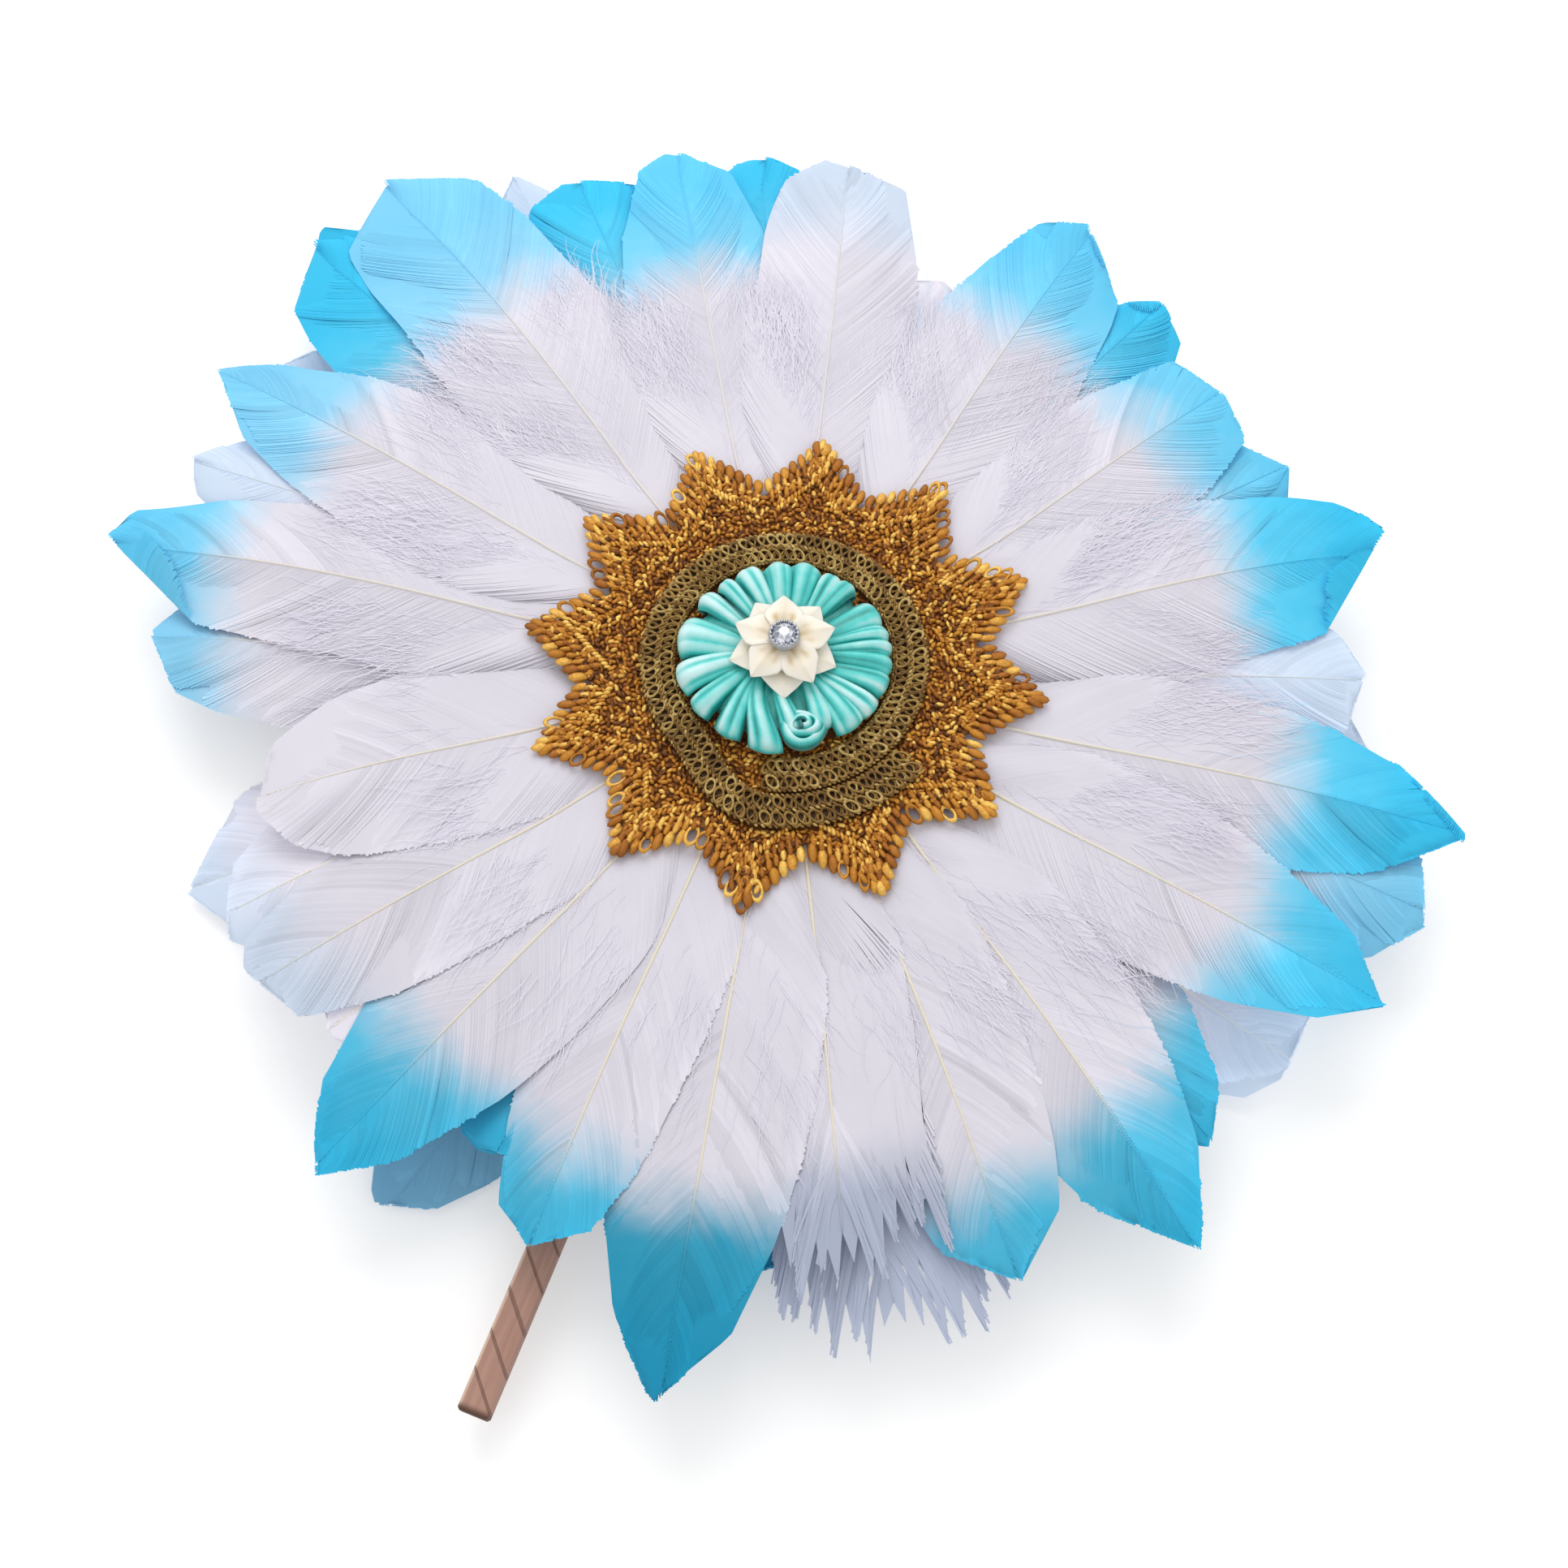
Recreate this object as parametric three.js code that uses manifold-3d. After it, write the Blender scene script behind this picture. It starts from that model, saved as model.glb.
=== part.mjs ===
// Round feather hand fan, lying on its back. Millimetres; +Z is its front and the handle runs along -Y.
// The origin is the centre of the felt cover's flat back face.
import * as THREE from "three";
import { mergeVertices } from "three/addons/utils/BufferGeometryUtils.js";
import Module from "manifold-3d";

const wasm = await Module();
wasm.setup();

// Driving dimensions

const FAN_RADIUS = 170; // the feather tips lie round this circle
const FEATHER_WIDTH = 49;

const GLUE = 0.3; // film of glue between pieces that are stuck together

const CARD_RADIUS = 58; // the two card discs that hold everything
const CARD_THICKNESS = 2;
const COVER_INSET = 2; // the felt circle over the back quills is this much smaller
const COVER_THICKNESS = 2;
const DISC_SIDES = 48;

const STICK_WIDTH = 8; // wooden handle
const STICK_THICKNESS = 6;
const STICK_CORNER = 1.4;
const STICK_CHAMFER = 0.6;
const STICK_CORNER_STEPS = 3;
const STICK_FREE_END = 203; // from the centre to the end that the hand holds
const STICK_INSET = 12; // its hidden end stops this far inside the cards' edge

const QUILL_RADIUS = 1; // feather shaft at its root
const SHAFT_TIP_RADIUS = 0.35;
const VANE_THICKNESS = 0.7; // beside the shaft; the vane thins to its edge
const VANE_ON_SHAFT = 0.8; // a thin shaft's vane is at most this share of it
const QUILL_FLARE = 1.25; // half-width of the bare quill's flattened sides, in shaft radii
const VANE_SPREAD_BY = 0.45; // share of the length where the vane is widest
const QUILL_BARE = 0.08; // share of the length that is bare quill
const VANE_CUP = 0.5; // how far the edges drop below the shaft
const VANE_TILT = 0.07; // roll that lets neighbours lie over each other like tiles
const POINTED = { fullness: 2.7, sharpness: 0.72 }; // exponents that close the outline towards the tip
const ROUNDED = { fullness: 3.4, sharpness: 0.5 };
const BLUNT = { fullness: 7, sharpness: 0.5 };
const FEATHER_STATIONS = [0, 0.08, 0.17, 0.28, 0.38, 0.52, 0.7, 0.84, 0.93, 0.98, 1];

const LOWER_GLUED = 16; // length of quill that each ring has on its card
const UPPER_GLUED = 36;
const BACK_GLUED = 22;
const LAYER_CLEARANCE = 0.7; // between the edges of the upper ring and those of the lower one
const UPPER_CLIMB = 22; // the upper ring climbs over the lower one along this much of its quills
const FRONT_ARCH = 7; // the front feathers swell forward between the star and the longest tip
const ARCH_CLEARANCE = 2; // the swell starts this far outside the star

const STAR_POINTS = 12; // gold lace, gathered into a star
const STAR_TURN = 12; // degrees
const STAR_TIP = 70;
const STAR_VALLEY = 54;
const STAR_LAP = 6; // the rosette's felt covers this much round the star's hole
const STAR_SHEET = 1.5;
const STAR_RELIEF = 0.8; // the stitched field stands above the picot border
const STAR_BORDER = 7;
const STAR_PICOTS = 4; // loops on each side of a point
const STAR_ARC_STEPS = 3;

const BRAID_CLEARANCE = 2; // braid laid round the rosette, its free end beside its start
const BRAID_WIDTH = 9.5;
const BRAID_HEIGHT = 2.4;
const BRAID_GROOVE = 0.55; // height of the middle groove as a share of the ridges
const BRAID_START = 285; // degrees
const BRAID_TAIL = 53;
const BRAID_BLEND = 45;
const BRAID_GAP = 0.5;
const BRAID_STEP = 6;

const BACKING_INSET = 6.5; // felt under the rosette, hidden by the ribbon
const BACKING_THICKNESS = 1;

const RUFFLE_SHOWN = 12; // gathered satin ribbon, seen round the small flower
const RUFFLE_EYE = 5;
const RUFFLE_HEIGHT = 8;
const RUFFLE_SEAT = 6.4; // height of its inner part, which carries the small flower
const RUFFLE_EYE_DIP = 1;
const RUFFLE_PUFFS = 18;
const RUFFLE_CROWDED = 6; // how many more puffs to the turn there are on the narrow side, and fewer on the wide one
const RUFFLE_WIDE_AT = 212; // degrees
const RUFFLE_PUFF_DEPTH = 1.7;
const RUFFLE_SEAT_DEPTH = 0.4; // the gathers die out towards the eye
const RUFFLE_STEPS_PER_PUFF = 5;
const RUFFLE_PROFILE = [[0.8, 0], [1, 0.35], [0.94, 0.75], [0.76, 1]]; // shares of radius and of height

const PETALS = 5; // two layers of folded ribbon petals
const LOWER_PETAL = 14.6;
const UPPER_PETAL = 13.2;
const PETAL_HALF_WIDTH = 4.6;
const PETAL_WIDEST = 0.5; // share of the petal's reach
const PETAL_EDGE = 0.7;
const PETAL_RIDGE = 2.6;
const PETAL_TIP = 0.9;

const STONE_RADIUS = 3.2; // rhinestone in a pressed metal cup
const STONE_SIDES = 10;
const STONE_CROWN = 1.3;
const STONE_PAVILION = 1.2;
const STONE_TABLE = 0.56; // table as a share of the radius
const CUP_WALL = 0.7;
const CUP_FLOOR = 0.6;
const CUP_LIP = 0.5;
const CUP_SIDES = 20;
const SEAT_CLEARANCE = 0.3;

// The feathers: direction in degrees, how far the tip is past the circle, how much wider the vane is than usual,
// the tip's outline and the sideways bow
const UPPER_FEATHERS = [
  { at: 4, past: 14, wider: 0, tip: POINTED, bow: 4 },
  { at: 34, past: 0, wider: 2, tip: ROUNDED, bow: -5 },
  { at: 54, past: -20, wider: -4, tip: BLUNT, bow: 3 },
  { at: 79, past: -2, wider: 0, tip: ROUNDED, bow: -3 },
  { at: 103, past: -4, wider: -2, tip: BLUNT, bow: 4 },
  { at: 123, past: 4, wider: -2, tip: ROUNDED, bow: -4 },
  { at: 146, past: 30, wider: 4, tip: BLUNT, bow: 6 },
  { at: 172, past: 16, wider: 0, tip: POINTED, bow: -3 },
  { at: 189, past: 22, wider: -4, tip: ROUNDED, bow: 3 },
  { at: 216, past: -28, wider: 4, tip: ROUNDED, bow: 4 },
  { at: 237, past: -8, wider: -2, tip: ROUNDED, bow: -4 },
  { at: 253, past: 8, wider: 2, tip: POINTED, bow: -5 },
  { at: 269, past: -4, wider: -8, tip: ROUNDED, bow: 2 },
  { at: 283, past: 22, wider: 2, tip: POINTED, bow: -2 },
  { at: 297, past: 0, wider: -4, tip: BLUNT, bow: -3 },
  { at: 311, past: 2, wider: -4, tip: ROUNDED, bow: -4 },
  { at: 325, past: 14, wider: 0, tip: POINTED, bow: -6 },
  { at: 347, past: 7, wider: 0, tip: POINTED, bow: 4 },
];
const LOWER_FEATHERS = [
  { at: 20, past: -16, wider: 2, tip: ROUNDED, bow: -3 },
  { at: 43, past: -16, wider: 0, tip: POINTED, bow: 4 },
  { at: 69, past: -6, wider: 0, tip: POINTED, bow: -4 },
  { at: 91, past: -38, wider: 0, tip: ROUNDED, bow: 2 },
  { at: 114, past: 2, wider: -2, tip: ROUNDED, bow: -3 },
  { at: 131, past: 4, wider: -2, tip: BLUNT, bow: 3 },
  { at: 157, past: 30, wider: 2, tip: ROUNDED, bow: -4 },
  { at: 179, past: 8, wider: 2, tip: POINTED, bow: 3 },
  { at: 199, past: 2, wider: 0, tip: ROUNDED, bow: -3 },
  { at: 226, past: -8, wider: 4, tip: POINTED, bow: 4 },
  { at: 244, past: -18, wider: 0, tip: ROUNDED, bow: -3 },
  { at: 262, past: -18, wider: -4, tip: ROUNDED, bow: 3 },
  { at: 279, past: -16, wider: -4, tip: POINTED, bow: -2 },
  { at: 299, past: 16, wider: 2, tip: BLUNT, bow: 3 },
  { at: 331, past: -4, wider: -2, tip: POINTED, bow: -3 },
  { at: 359, past: 10, wider: 0, tip: ROUNDED, bow: -3 },
];
const BACK_FEATHERS = [
  { at: 14, past: -10, wider: 4, tip: ROUNDED, bow: 4 },
  { at: 38, past: -18, wider: 4, tip: ROUNDED, bow: -3 },
  { at: 64, past: -18, wider: 4, tip: POINTED, bow: 3 },
  { at: 90, past: -30, wider: 4, tip: ROUNDED, bow: -4 },
  { at: 113, past: -10, wider: 2, tip: ROUNDED, bow: 3 },
  { at: 137, past: 28, wider: 2, tip: POINTED, bow: -3 },
  { at: 165, past: 16, wider: 4, tip: BLUNT, bow: 4 },
  { at: 193, past: 2, wider: 6, tip: ROUNDED, bow: -4 },
  { at: 219, past: -2, wider: 6, tip: ROUNDED, bow: 5 },
  { at: 257, past: 4, wider: 0, tip: POINTED, bow: -3 },
  { at: 286, past: -8, wider: 2, tip: ROUNDED, bow: 3 },
  { at: 313, past: 6, wider: 4, tip: POINTED, bow: -4 },
  { at: 341, past: -2, wider: 8, tip: ROUNDED, bow: 4 },
];

// Sizes that follow from these

const FRONT_FEATHERS = [...UPPER_FEATHERS, ...LOWER_FEATHERS];
const WIDEST_FEATHER = FEATHER_WIDTH + Math.max(...FRONT_FEATHERS.map((feather) => feather.wider));
const LONGEST_REACH = FAN_RADIUS + Math.max(...FRONT_FEATHERS.map((feather) => feather.past));
const UPPER_ROOT = CARD_RADIUS - UPPER_GLUED;
const LOWER_ROOT = CARD_RADIUS - LOWER_GLUED;
const BACK_ROOT = CARD_RADIUS - BACK_GLUED;
const UPPER_LIFT = WIDEST_FEATHER * VANE_TILT + LAYER_CLEARANCE;
const ARCH_START = STAR_TIP + ARCH_CLEARANCE;
const ARCH_SPAN = LONGEST_REACH - ARCH_START;
const COVER_RADIUS = CARD_RADIUS - COVER_INSET;
const STICK_TOP_END = CARD_RADIUS - STICK_INSET;
const RUFFLE_RADIUS = LOWER_PETAL + RUFFLE_SHOWN;
const BACKING_RADIUS = RUFFLE_RADIUS - BACKING_INSET;
const STAR_HOLE = BACKING_RADIUS - STAR_LAP;
const BRAID_INNER = RUFFLE_RADIUS + BRAID_CLEARANCE;
const CUP_BORE = STONE_RADIUS + SEAT_CLEARANCE;
const CUP_RADIUS = CUP_BORE + CUP_WALL;

// Heights of the stack, from the back face up

const BACK_QUILL_Z = COVER_THICKNESS + GLUE + QUILL_RADIUS;
const BACK_CARD_Z = BACK_QUILL_Z + QUILL_RADIUS + GLUE;
const STICK_Z = BACK_CARD_Z + CARD_THICKNESS + GLUE;
const FRONT_CARD_Z = STICK_Z + STICK_THICKNESS + GLUE;
const FRONT_QUILL_Z = FRONT_CARD_Z + CARD_THICKNESS + GLUE + QUILL_RADIUS;
const STAR_Z = FRONT_QUILL_Z + UPPER_LIFT + QUILL_RADIUS + GLUE;
const STAR_TOP_Z = STAR_Z + STAR_SHEET + STAR_RELIEF + GLUE;
const RUFFLE_Z = STAR_TOP_Z + BACKING_THICKNESS + GLUE;
const FLOWER_Z = RUFFLE_Z + RUFFLE_SEAT + GLUE;
const UPPER_FLOWER_Z = FLOWER_Z + PETAL_RIDGE + GLUE;
const CUP_Z = UPPER_FLOWER_Z + PETAL_RIDGE + GLUE;

// Finishes

function finish(color, roughness, metalness = 0) {
  return new THREE.MeshStandardMaterial({ color, roughness, metalness });
}

const WOOD = finish(0xb08a78, 0.6);
const CARD = finish(0xcfc6ba, 0.9);
const FELT = finish(0xf0ecf2, 0.95);
const FEATHER = finish(0xe4e0ec, 0.8);
const GOLD_LACE = finish(0xb87a22, 0.45, 0.6);
const BRONZE_BRAID = finish(0x8c6f3a, 0.5, 0.5);
const SATIN = finish(0x35c4bd, 0.35);
const CREAM_SATIN = finish(0xf3e6d2, 0.4);
const SETTING = finish(0xb9b9bf, 0.25, 1);
const CRYSTAL = finish(0xe8eaf4, 0.05);

// Shared helpers

const radians = THREE.MathUtils.degToRad;
const smooth = (x) => THREE.MathUtils.smoothstep(x, 0, 1);

// Turns a triangle list round if it faces inwards.
function facingOut(positions, triangles) {
  const [a, b, c] = [new THREE.Vector3(), new THREE.Vector3(), new THREE.Vector3()];
  let volume = 0;
  for (const [i, j, k] of triangles) {
    a.copy(positions[i]);
    b.copy(positions[j]);
    c.copy(positions[k]);
    volume += a.dot(b.cross(c));
  }
  const index = volume < 0 ? triangles.map(([i, j, k]) => [i, k, j]) : triangles;
  const geometry = new THREE.BufferGeometry().setFromPoints(positions);
  geometry.setIndex(index.flat());
  return geometry;
}

// A closed skin over a row of sections with equal point counts, capped at both ends or joined into a ring.
function loft(sections, ring = false) {
  const count = sections[0].length;
  const positions = sections.flat();
  const triangles = [];
  const spans = ring ? sections.length : sections.length - 1;
  for (let s = 0; s < spans; s++) {
    const here = s * count;
    const next = ((s + 1) % sections.length) * count;
    for (let p = 0; p < count; p++) {
      const q = (p + 1) % count;
      triangles.push([here + p, here + q, next + q], [here + p, next + q, next + p]);
    }
  }
  if (!ring) {
    for (const [end, flip] of [[0, true], [sections.length - 1, false]]) {
      const middle = new THREE.Vector3();
      sections[end].forEach((point) => middle.addScaledVector(point, 1 / count));
      const centre = positions.push(middle) - 1;
      for (let p = 0; p < count; p++) {
        const [i, j] = [end * count + p, end * count + ((p + 1) % count)];
        triangles.push(flip ? [centre, j, i] : [centre, i, j]);
      }
    }
  }
  return facingOut(positions, triangles);
}

function toSolid(geometry) {
  const bare = geometry.clone();
  bare.deleteAttribute("normal");
  bare.deleteAttribute("uv");
  const merged = mergeVertices(bare, 1e-4);
  const vertProperties = new Float32Array(merged.getAttribute("position").array);
  const triVerts = new Uint32Array(merged.index.array);
  return new wasm.Manifold(new wasm.Mesh({ numProp: 3, vertProperties, triVerts }));
}

function toGeometry(solid) {
  const made = solid.getMesh();
  const geometry = new THREE.BufferGeometry();
  geometry.setAttribute("position", new THREE.BufferAttribute(made.vertProperties, 3));
  geometry.setIndex(new THREE.BufferAttribute(made.triVerts, 1));
  return geometry;
}

const join = (geometries) => toGeometry(geometries.map(toSolid).reduce((all, one) => all.add(one)));

const fan = new THREE.Group();

function place(name, geometry, material, z = 0) {
  const mesh = new THREE.Mesh(geometry, material);
  mesh.name = name;
  mesh.position.z = z;
  fan.add(mesh);
  return mesh;
}

// Handle and the discs that hold it

function disc(radius, thickness) {
  const geometry = new THREE.CylinderGeometry(radius, radius, thickness, DISC_SIDES);
  return geometry.rotateX(Math.PI / 2).translate(0, 0, thickness / 2);
}

function roundedRectangle(width, height, corner) {
  const [x, y] = [width / 2, height / 2];
  const shape = new THREE.Shape();
  shape.absarc(x - corner, y - corner, corner, 0, Math.PI / 2);
  shape.absarc(corner - x, y - corner, corner, Math.PI / 2, Math.PI);
  shape.absarc(corner - x, corner - y, corner, Math.PI, 1.5 * Math.PI);
  shape.absarc(x - corner, corner - y, corner, 1.5 * Math.PI, 2 * Math.PI);
  return shape;
}

function handleStick() {
  const length = STICK_FREE_END + STICK_TOP_END;
  const geometry = new THREE.ExtrudeGeometry(roundedRectangle(STICK_WIDTH, STICK_THICKNESS, STICK_CORNER), {
    depth: length - 2 * STICK_CHAMFER,
    curveSegments: STICK_CORNER_STEPS,
    bevelEnabled: true,
    bevelSize: STICK_CHAMFER,
    bevelOffset: -STICK_CHAMFER,
    bevelThickness: STICK_CHAMFER,
    bevelSegments: 1,
  });
  geometry.rotateX(Math.PI / 2);
  return geometry.translate(0, STICK_TOP_END - STICK_CHAMFER, STICK_THICKNESS / 2);
}

place("back_cover", disc(COVER_RADIUS, COVER_THICKNESS), FELT);
place("back_card", disc(CARD_RADIUS, CARD_THICKNESS), CARD, BACK_CARD_Z);
place("handle_stick", handleStick(), WOOD, STICK_Z);
place("front_card", disc(CARD_RADIUS, CARD_THICKNESS), CARD, FRONT_CARD_Z);

// Feathers: a tapering shaft with a thin vane on both sides, lofted from root to tip

// Half-width of the vane along the feather, as a share of its widest.
function vaneShare(along, tip) {
  if (along < VANE_SPREAD_BY) {
    return smooth((along - QUILL_BARE) / (VANE_SPREAD_BY - QUILL_BARE));
  }
  const closing = (along - VANE_SPREAD_BY) / (1 - VANE_SPREAD_BY);
  return Math.pow(1 - Math.pow(closing, tip.fullness), tip.sharpness);
}

function featherSection(along, root, height, { past, wider, tip, bow }) {
  const out = THREE.MathUtils.lerp(root, FAN_RADIUS + past, along);
  const shaft = THREE.MathUtils.lerp(QUILL_RADIUS, SHAFT_TIP_RADIUS, along);
  const beside = Math.min(VANE_THICKNESS / 2, VANE_ON_SHAFT * shaft);
  const share = vaneShare(along, tip);
  const half = Math.max((share * (FEATHER_WIDTH + wider)) / 2, QUILL_FLARE * shaft);
  const point = (side, lift) => {
    const across = bow * along * along + side;
    return new THREE.Vector3(out, across, height(Math.hypot(out, across)) + lift + VANE_TILT * side);
  };
  return [
    point(-half, -VANE_CUP * share),
    point(-shaft, beside),
    point(0, shaft),
    point(shaft, beside),
    point(half, -VANE_CUP * share),
    point(shaft, -beside),
    point(0, -shaft),
    point(-shaft, -beside),
  ];
}

function ringOfFeathers(name, feathers, root, height) {
  feathers.forEach((feather, i) => {
    const sections = FEATHER_STATIONS.map((along) => featherSection(along, root, height, feather));
    const mesh = place(`${name}_${String(i + 1).padStart(2, "0")}`, loft(sections), FEATHER);
    mesh.rotation.z = radians(feather.at);
  });
}

function frontArch(radius) {
  const along = Math.max(radius - ARCH_START, 0) / ARCH_SPAN;
  return FRONT_ARCH * Math.sin(Math.PI * along);
}

const lowerHeight = (radius) => FRONT_QUILL_Z + frontArch(radius);
const climb = (radius) => UPPER_LIFT * smooth((radius - UPPER_ROOT) / UPPER_CLIMB);
const upperHeight = (radius) => lowerHeight(radius) + climb(radius);
const backHeight = () => BACK_QUILL_Z;

ringOfFeathers("back_feather", BACK_FEATHERS, BACK_ROOT, backHeight);
ringOfFeathers("lower_feather", LOWER_FEATHERS, LOWER_ROOT, lowerHeight);
ringOfFeathers("upper_feather", UPPER_FEATHERS, UPPER_ROOT, upperHeight);

// Gold lace star: a picot-edged sheet with a raised stitched field

// Corners of a star, tip and valley in turn.
function starCorners(tip, valley) {
  return Array.from({ length: 2 * STAR_POINTS }, (_, i) => {
    const angle = (Math.PI * i) / STAR_POINTS;
    const radius = i % 2 ? valley : tip;
    return new THREE.Vector2(radius * Math.cos(angle), radius * Math.sin(angle));
  });
}

function picotStar(tip, valley) {
  const corners = starCorners(tip, valley);
  const shape = new THREE.Shape();
  corners.forEach((corner, i) => {
    const next = corners[(i + 1) % corners.length];
    for (let p = 0; p < STAR_PICOTS; p++) {
      const from = corner.clone().lerp(next, p / STAR_PICOTS);
      const to = corner.clone().lerp(next, (p + 1) / STAR_PICOTS);
      const middle = from.clone().lerp(to, 0.5);
      const start = Math.atan2(from.y - middle.y, from.x - middle.x);
      shape.absarc(middle.x, middle.y, from.distanceTo(to) / 2, start, start + Math.PI);
    }
  });
  return shape;
}

function laceStar() {
  const [tip, valley] = starCorners(STAR_TIP, STAR_VALLEY);
  const picot = tip.distanceTo(valley) / STAR_PICOTS / 2;
  const sheet = picotStar(STAR_TIP - picot, STAR_VALLEY - picot);
  const field = new THREE.Shape(starCorners(STAR_TIP - STAR_BORDER, STAR_VALLEY - STAR_BORDER));
  for (const shape of [sheet, field]) {
    shape.holes.push(new THREE.Path().absarc(0, 0, STAR_HOLE, 0, 2 * Math.PI, true));
  }
  const flat = (depth) => ({ depth, curveSegments: STAR_ARC_STEPS, bevelEnabled: false });
  return join([
    new THREE.ExtrudeGeometry(sheet, flat(STAR_SHEET)),
    new THREE.ExtrudeGeometry(field, flat(STAR_SHEET + STAR_RELIEF)),
  ]);
}

place("lace_star", laceStar(), GOLD_LACE, STAR_Z).rotation.z = radians(STAR_TURN);

// Braid: two raised ridges along a ring whose free end runs on outside its start

function braidRing() {
  const length = 360 + BRAID_TAIL;
  const steps = Math.ceil(length / BRAID_STEP);
  const sections = [];
  for (let s = 0; s <= steps; s++) {
    const angle = (length * s) / steps;
    const out = smooth((angle - 360 + BRAID_BLEND) / BRAID_BLEND) * (BRAID_WIDTH + BRAID_GAP);
    const inner = BRAID_INNER + out;
    const direction = radians(BRAID_START + angle);
    const point = (across, up) => {
      const radius = inner + across * BRAID_WIDTH;
      return new THREE.Vector3(radius * Math.cos(direction), radius * Math.sin(direction), up * BRAID_HEIGHT);
    };
    sections.push([
      point(0, 0),
      point(1, 0),
      point(1, BRAID_GROOVE),
      point(0.75, 1),
      point(0.5, BRAID_GROOVE),
      point(0.25, 1),
      point(0, BRAID_GROOVE),
    ]);
  }
  return loft(sections);
}

place("braid_ring", braidRing(), BRONZE_BRAID, STAR_TOP_Z);

// Rosette: gathered ribbon on a felt circle

function ruffle() {
  const steps = RUFFLE_PUFFS * RUFFLE_STEPS_PER_PUFF;
  const sections = [];
  for (let s = 0; s < steps; s++) {
    const angle = (2 * Math.PI * s) / steps;
    const aside = angle - radians(RUFFLE_WIDE_AT);
    const puffsHere = RUFFLE_PUFFS - RUFFLE_CROWDED * Math.cos(aside);
    const depth = (RUFFLE_PUFF_DEPTH * RUFFLE_PUFFS) / puffsHere;
    const gather = (1 - Math.cos(RUFFLE_PUFFS * angle - RUFFLE_CROWDED * Math.sin(aside))) / 2;
    const edge = RUFFLE_RADIUS - depth * gather;
    const crest = RUFFLE_HEIGHT - depth * gather;
    const point = (radius, z) => new THREE.Vector3(radius * Math.cos(angle), radius * Math.sin(angle), z);
    sections.push([
      point(RUFFLE_EYE, 0),
      ...RUFFLE_PROFILE.map(([out, up]) => point(out * edge, up * crest)),
      point(LOWER_PETAL, RUFFLE_SEAT - RUFFLE_SEAT_DEPTH * gather),
      point(RUFFLE_EYE, RUFFLE_SEAT - RUFFLE_EYE_DIP),
    ]);
  }
  return loft(sections, true);
}

place("rosette_backing", disc(BACKING_RADIUS, BACKING_THICKNESS), FELT, STAR_TOP_Z);
place("rosette_ruffle", ruffle(), SATIN, RUFFLE_Z);

// Small flower: two layers of pointed folded petals

function petal(reach) {
  const widest = reach * PETAL_WIDEST;
  const bottom = [
    new THREE.Vector3(0, 0, 0),
    new THREE.Vector3(widest, -PETAL_HALF_WIDTH, 0),
    new THREE.Vector3(reach, 0, 0),
    new THREE.Vector3(widest, PETAL_HALF_WIDTH, 0),
  ];
  const top = [
    new THREE.Vector3(0, 0, PETAL_RIDGE),
    new THREE.Vector3(widest, -PETAL_HALF_WIDTH, PETAL_EDGE),
    new THREE.Vector3(reach, 0, PETAL_TIP),
    new THREE.Vector3(widest, PETAL_HALF_WIDTH, PETAL_EDGE),
  ];
  const ridge = new THREE.Vector3(widest, 0, PETAL_RIDGE);
  const triangles = [[0, 2, 1], [0, 3, 2]];
  for (let i = 0; i < 4; i++) {
    const j = (i + 1) % 4;
    triangles.push([i, j, 4 + j], [i, 4 + j, 4 + i], [8, 4 + i, 4 + j]);
  }
  return facingOut([...bottom, ...top, ridge], triangles);
}

function petalLayer(reach, turned) {
  const step = (2 * Math.PI) / PETALS;
  const petals = Array.from({ length: PETALS }, (_, i) => petal(reach).rotateZ(step * (i + turned)));
  return join([disc(CUP_RADIUS, PETAL_RIDGE), ...petals]);
}

place("flower_lower_petals", petalLayer(LOWER_PETAL, 0), CREAM_SATIN, FLOWER_Z);
place("flower_upper_petals", petalLayer(UPPER_PETAL, 0.5), CREAM_SATIN, UPPER_FLOWER_Z);

// Rhinestone in its cup

function revolve(profile, sides) {
  const geometry = new THREE.LatheGeometry(profile.map(([r, z]) => new THREE.Vector2(r, z)), sides);
  return geometry.rotateX(Math.PI / 2);
}

function stoneCup() {
  const rim = CUP_FLOOR + SEAT_CLEARANCE + STONE_PAVILION + CUP_LIP;
  return revolve(
    [[0, 0], [CUP_RADIUS, 0], [CUP_RADIUS, rim], [CUP_BORE, rim], [CUP_BORE, CUP_FLOOR], [0, CUP_FLOOR]],
    CUP_SIDES,
  );
}

function rhinestone() {
  const crown = STONE_PAVILION + STONE_CROWN;
  return revolve(
    [
      [0, 0],
      [STONE_RADIUS * STONE_TABLE, 0],
      [STONE_RADIUS, STONE_PAVILION],
      [STONE_RADIUS * STONE_TABLE, crown],
      [0, crown],
    ],
    STONE_SIDES,
  );
}

place("stone_cup", stoneCup(), SETTING, CUP_Z);
place("rhinestone", rhinestone(), CRYSTAL, CUP_Z + CUP_FLOOR + SEAT_CLEARANCE);

export default fan;
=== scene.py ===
"""A round feather hand fan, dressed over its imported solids.

Sizes in this file are millimetres and degrees; MM turns lengths to the frame's metres.
"""
import math

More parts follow.
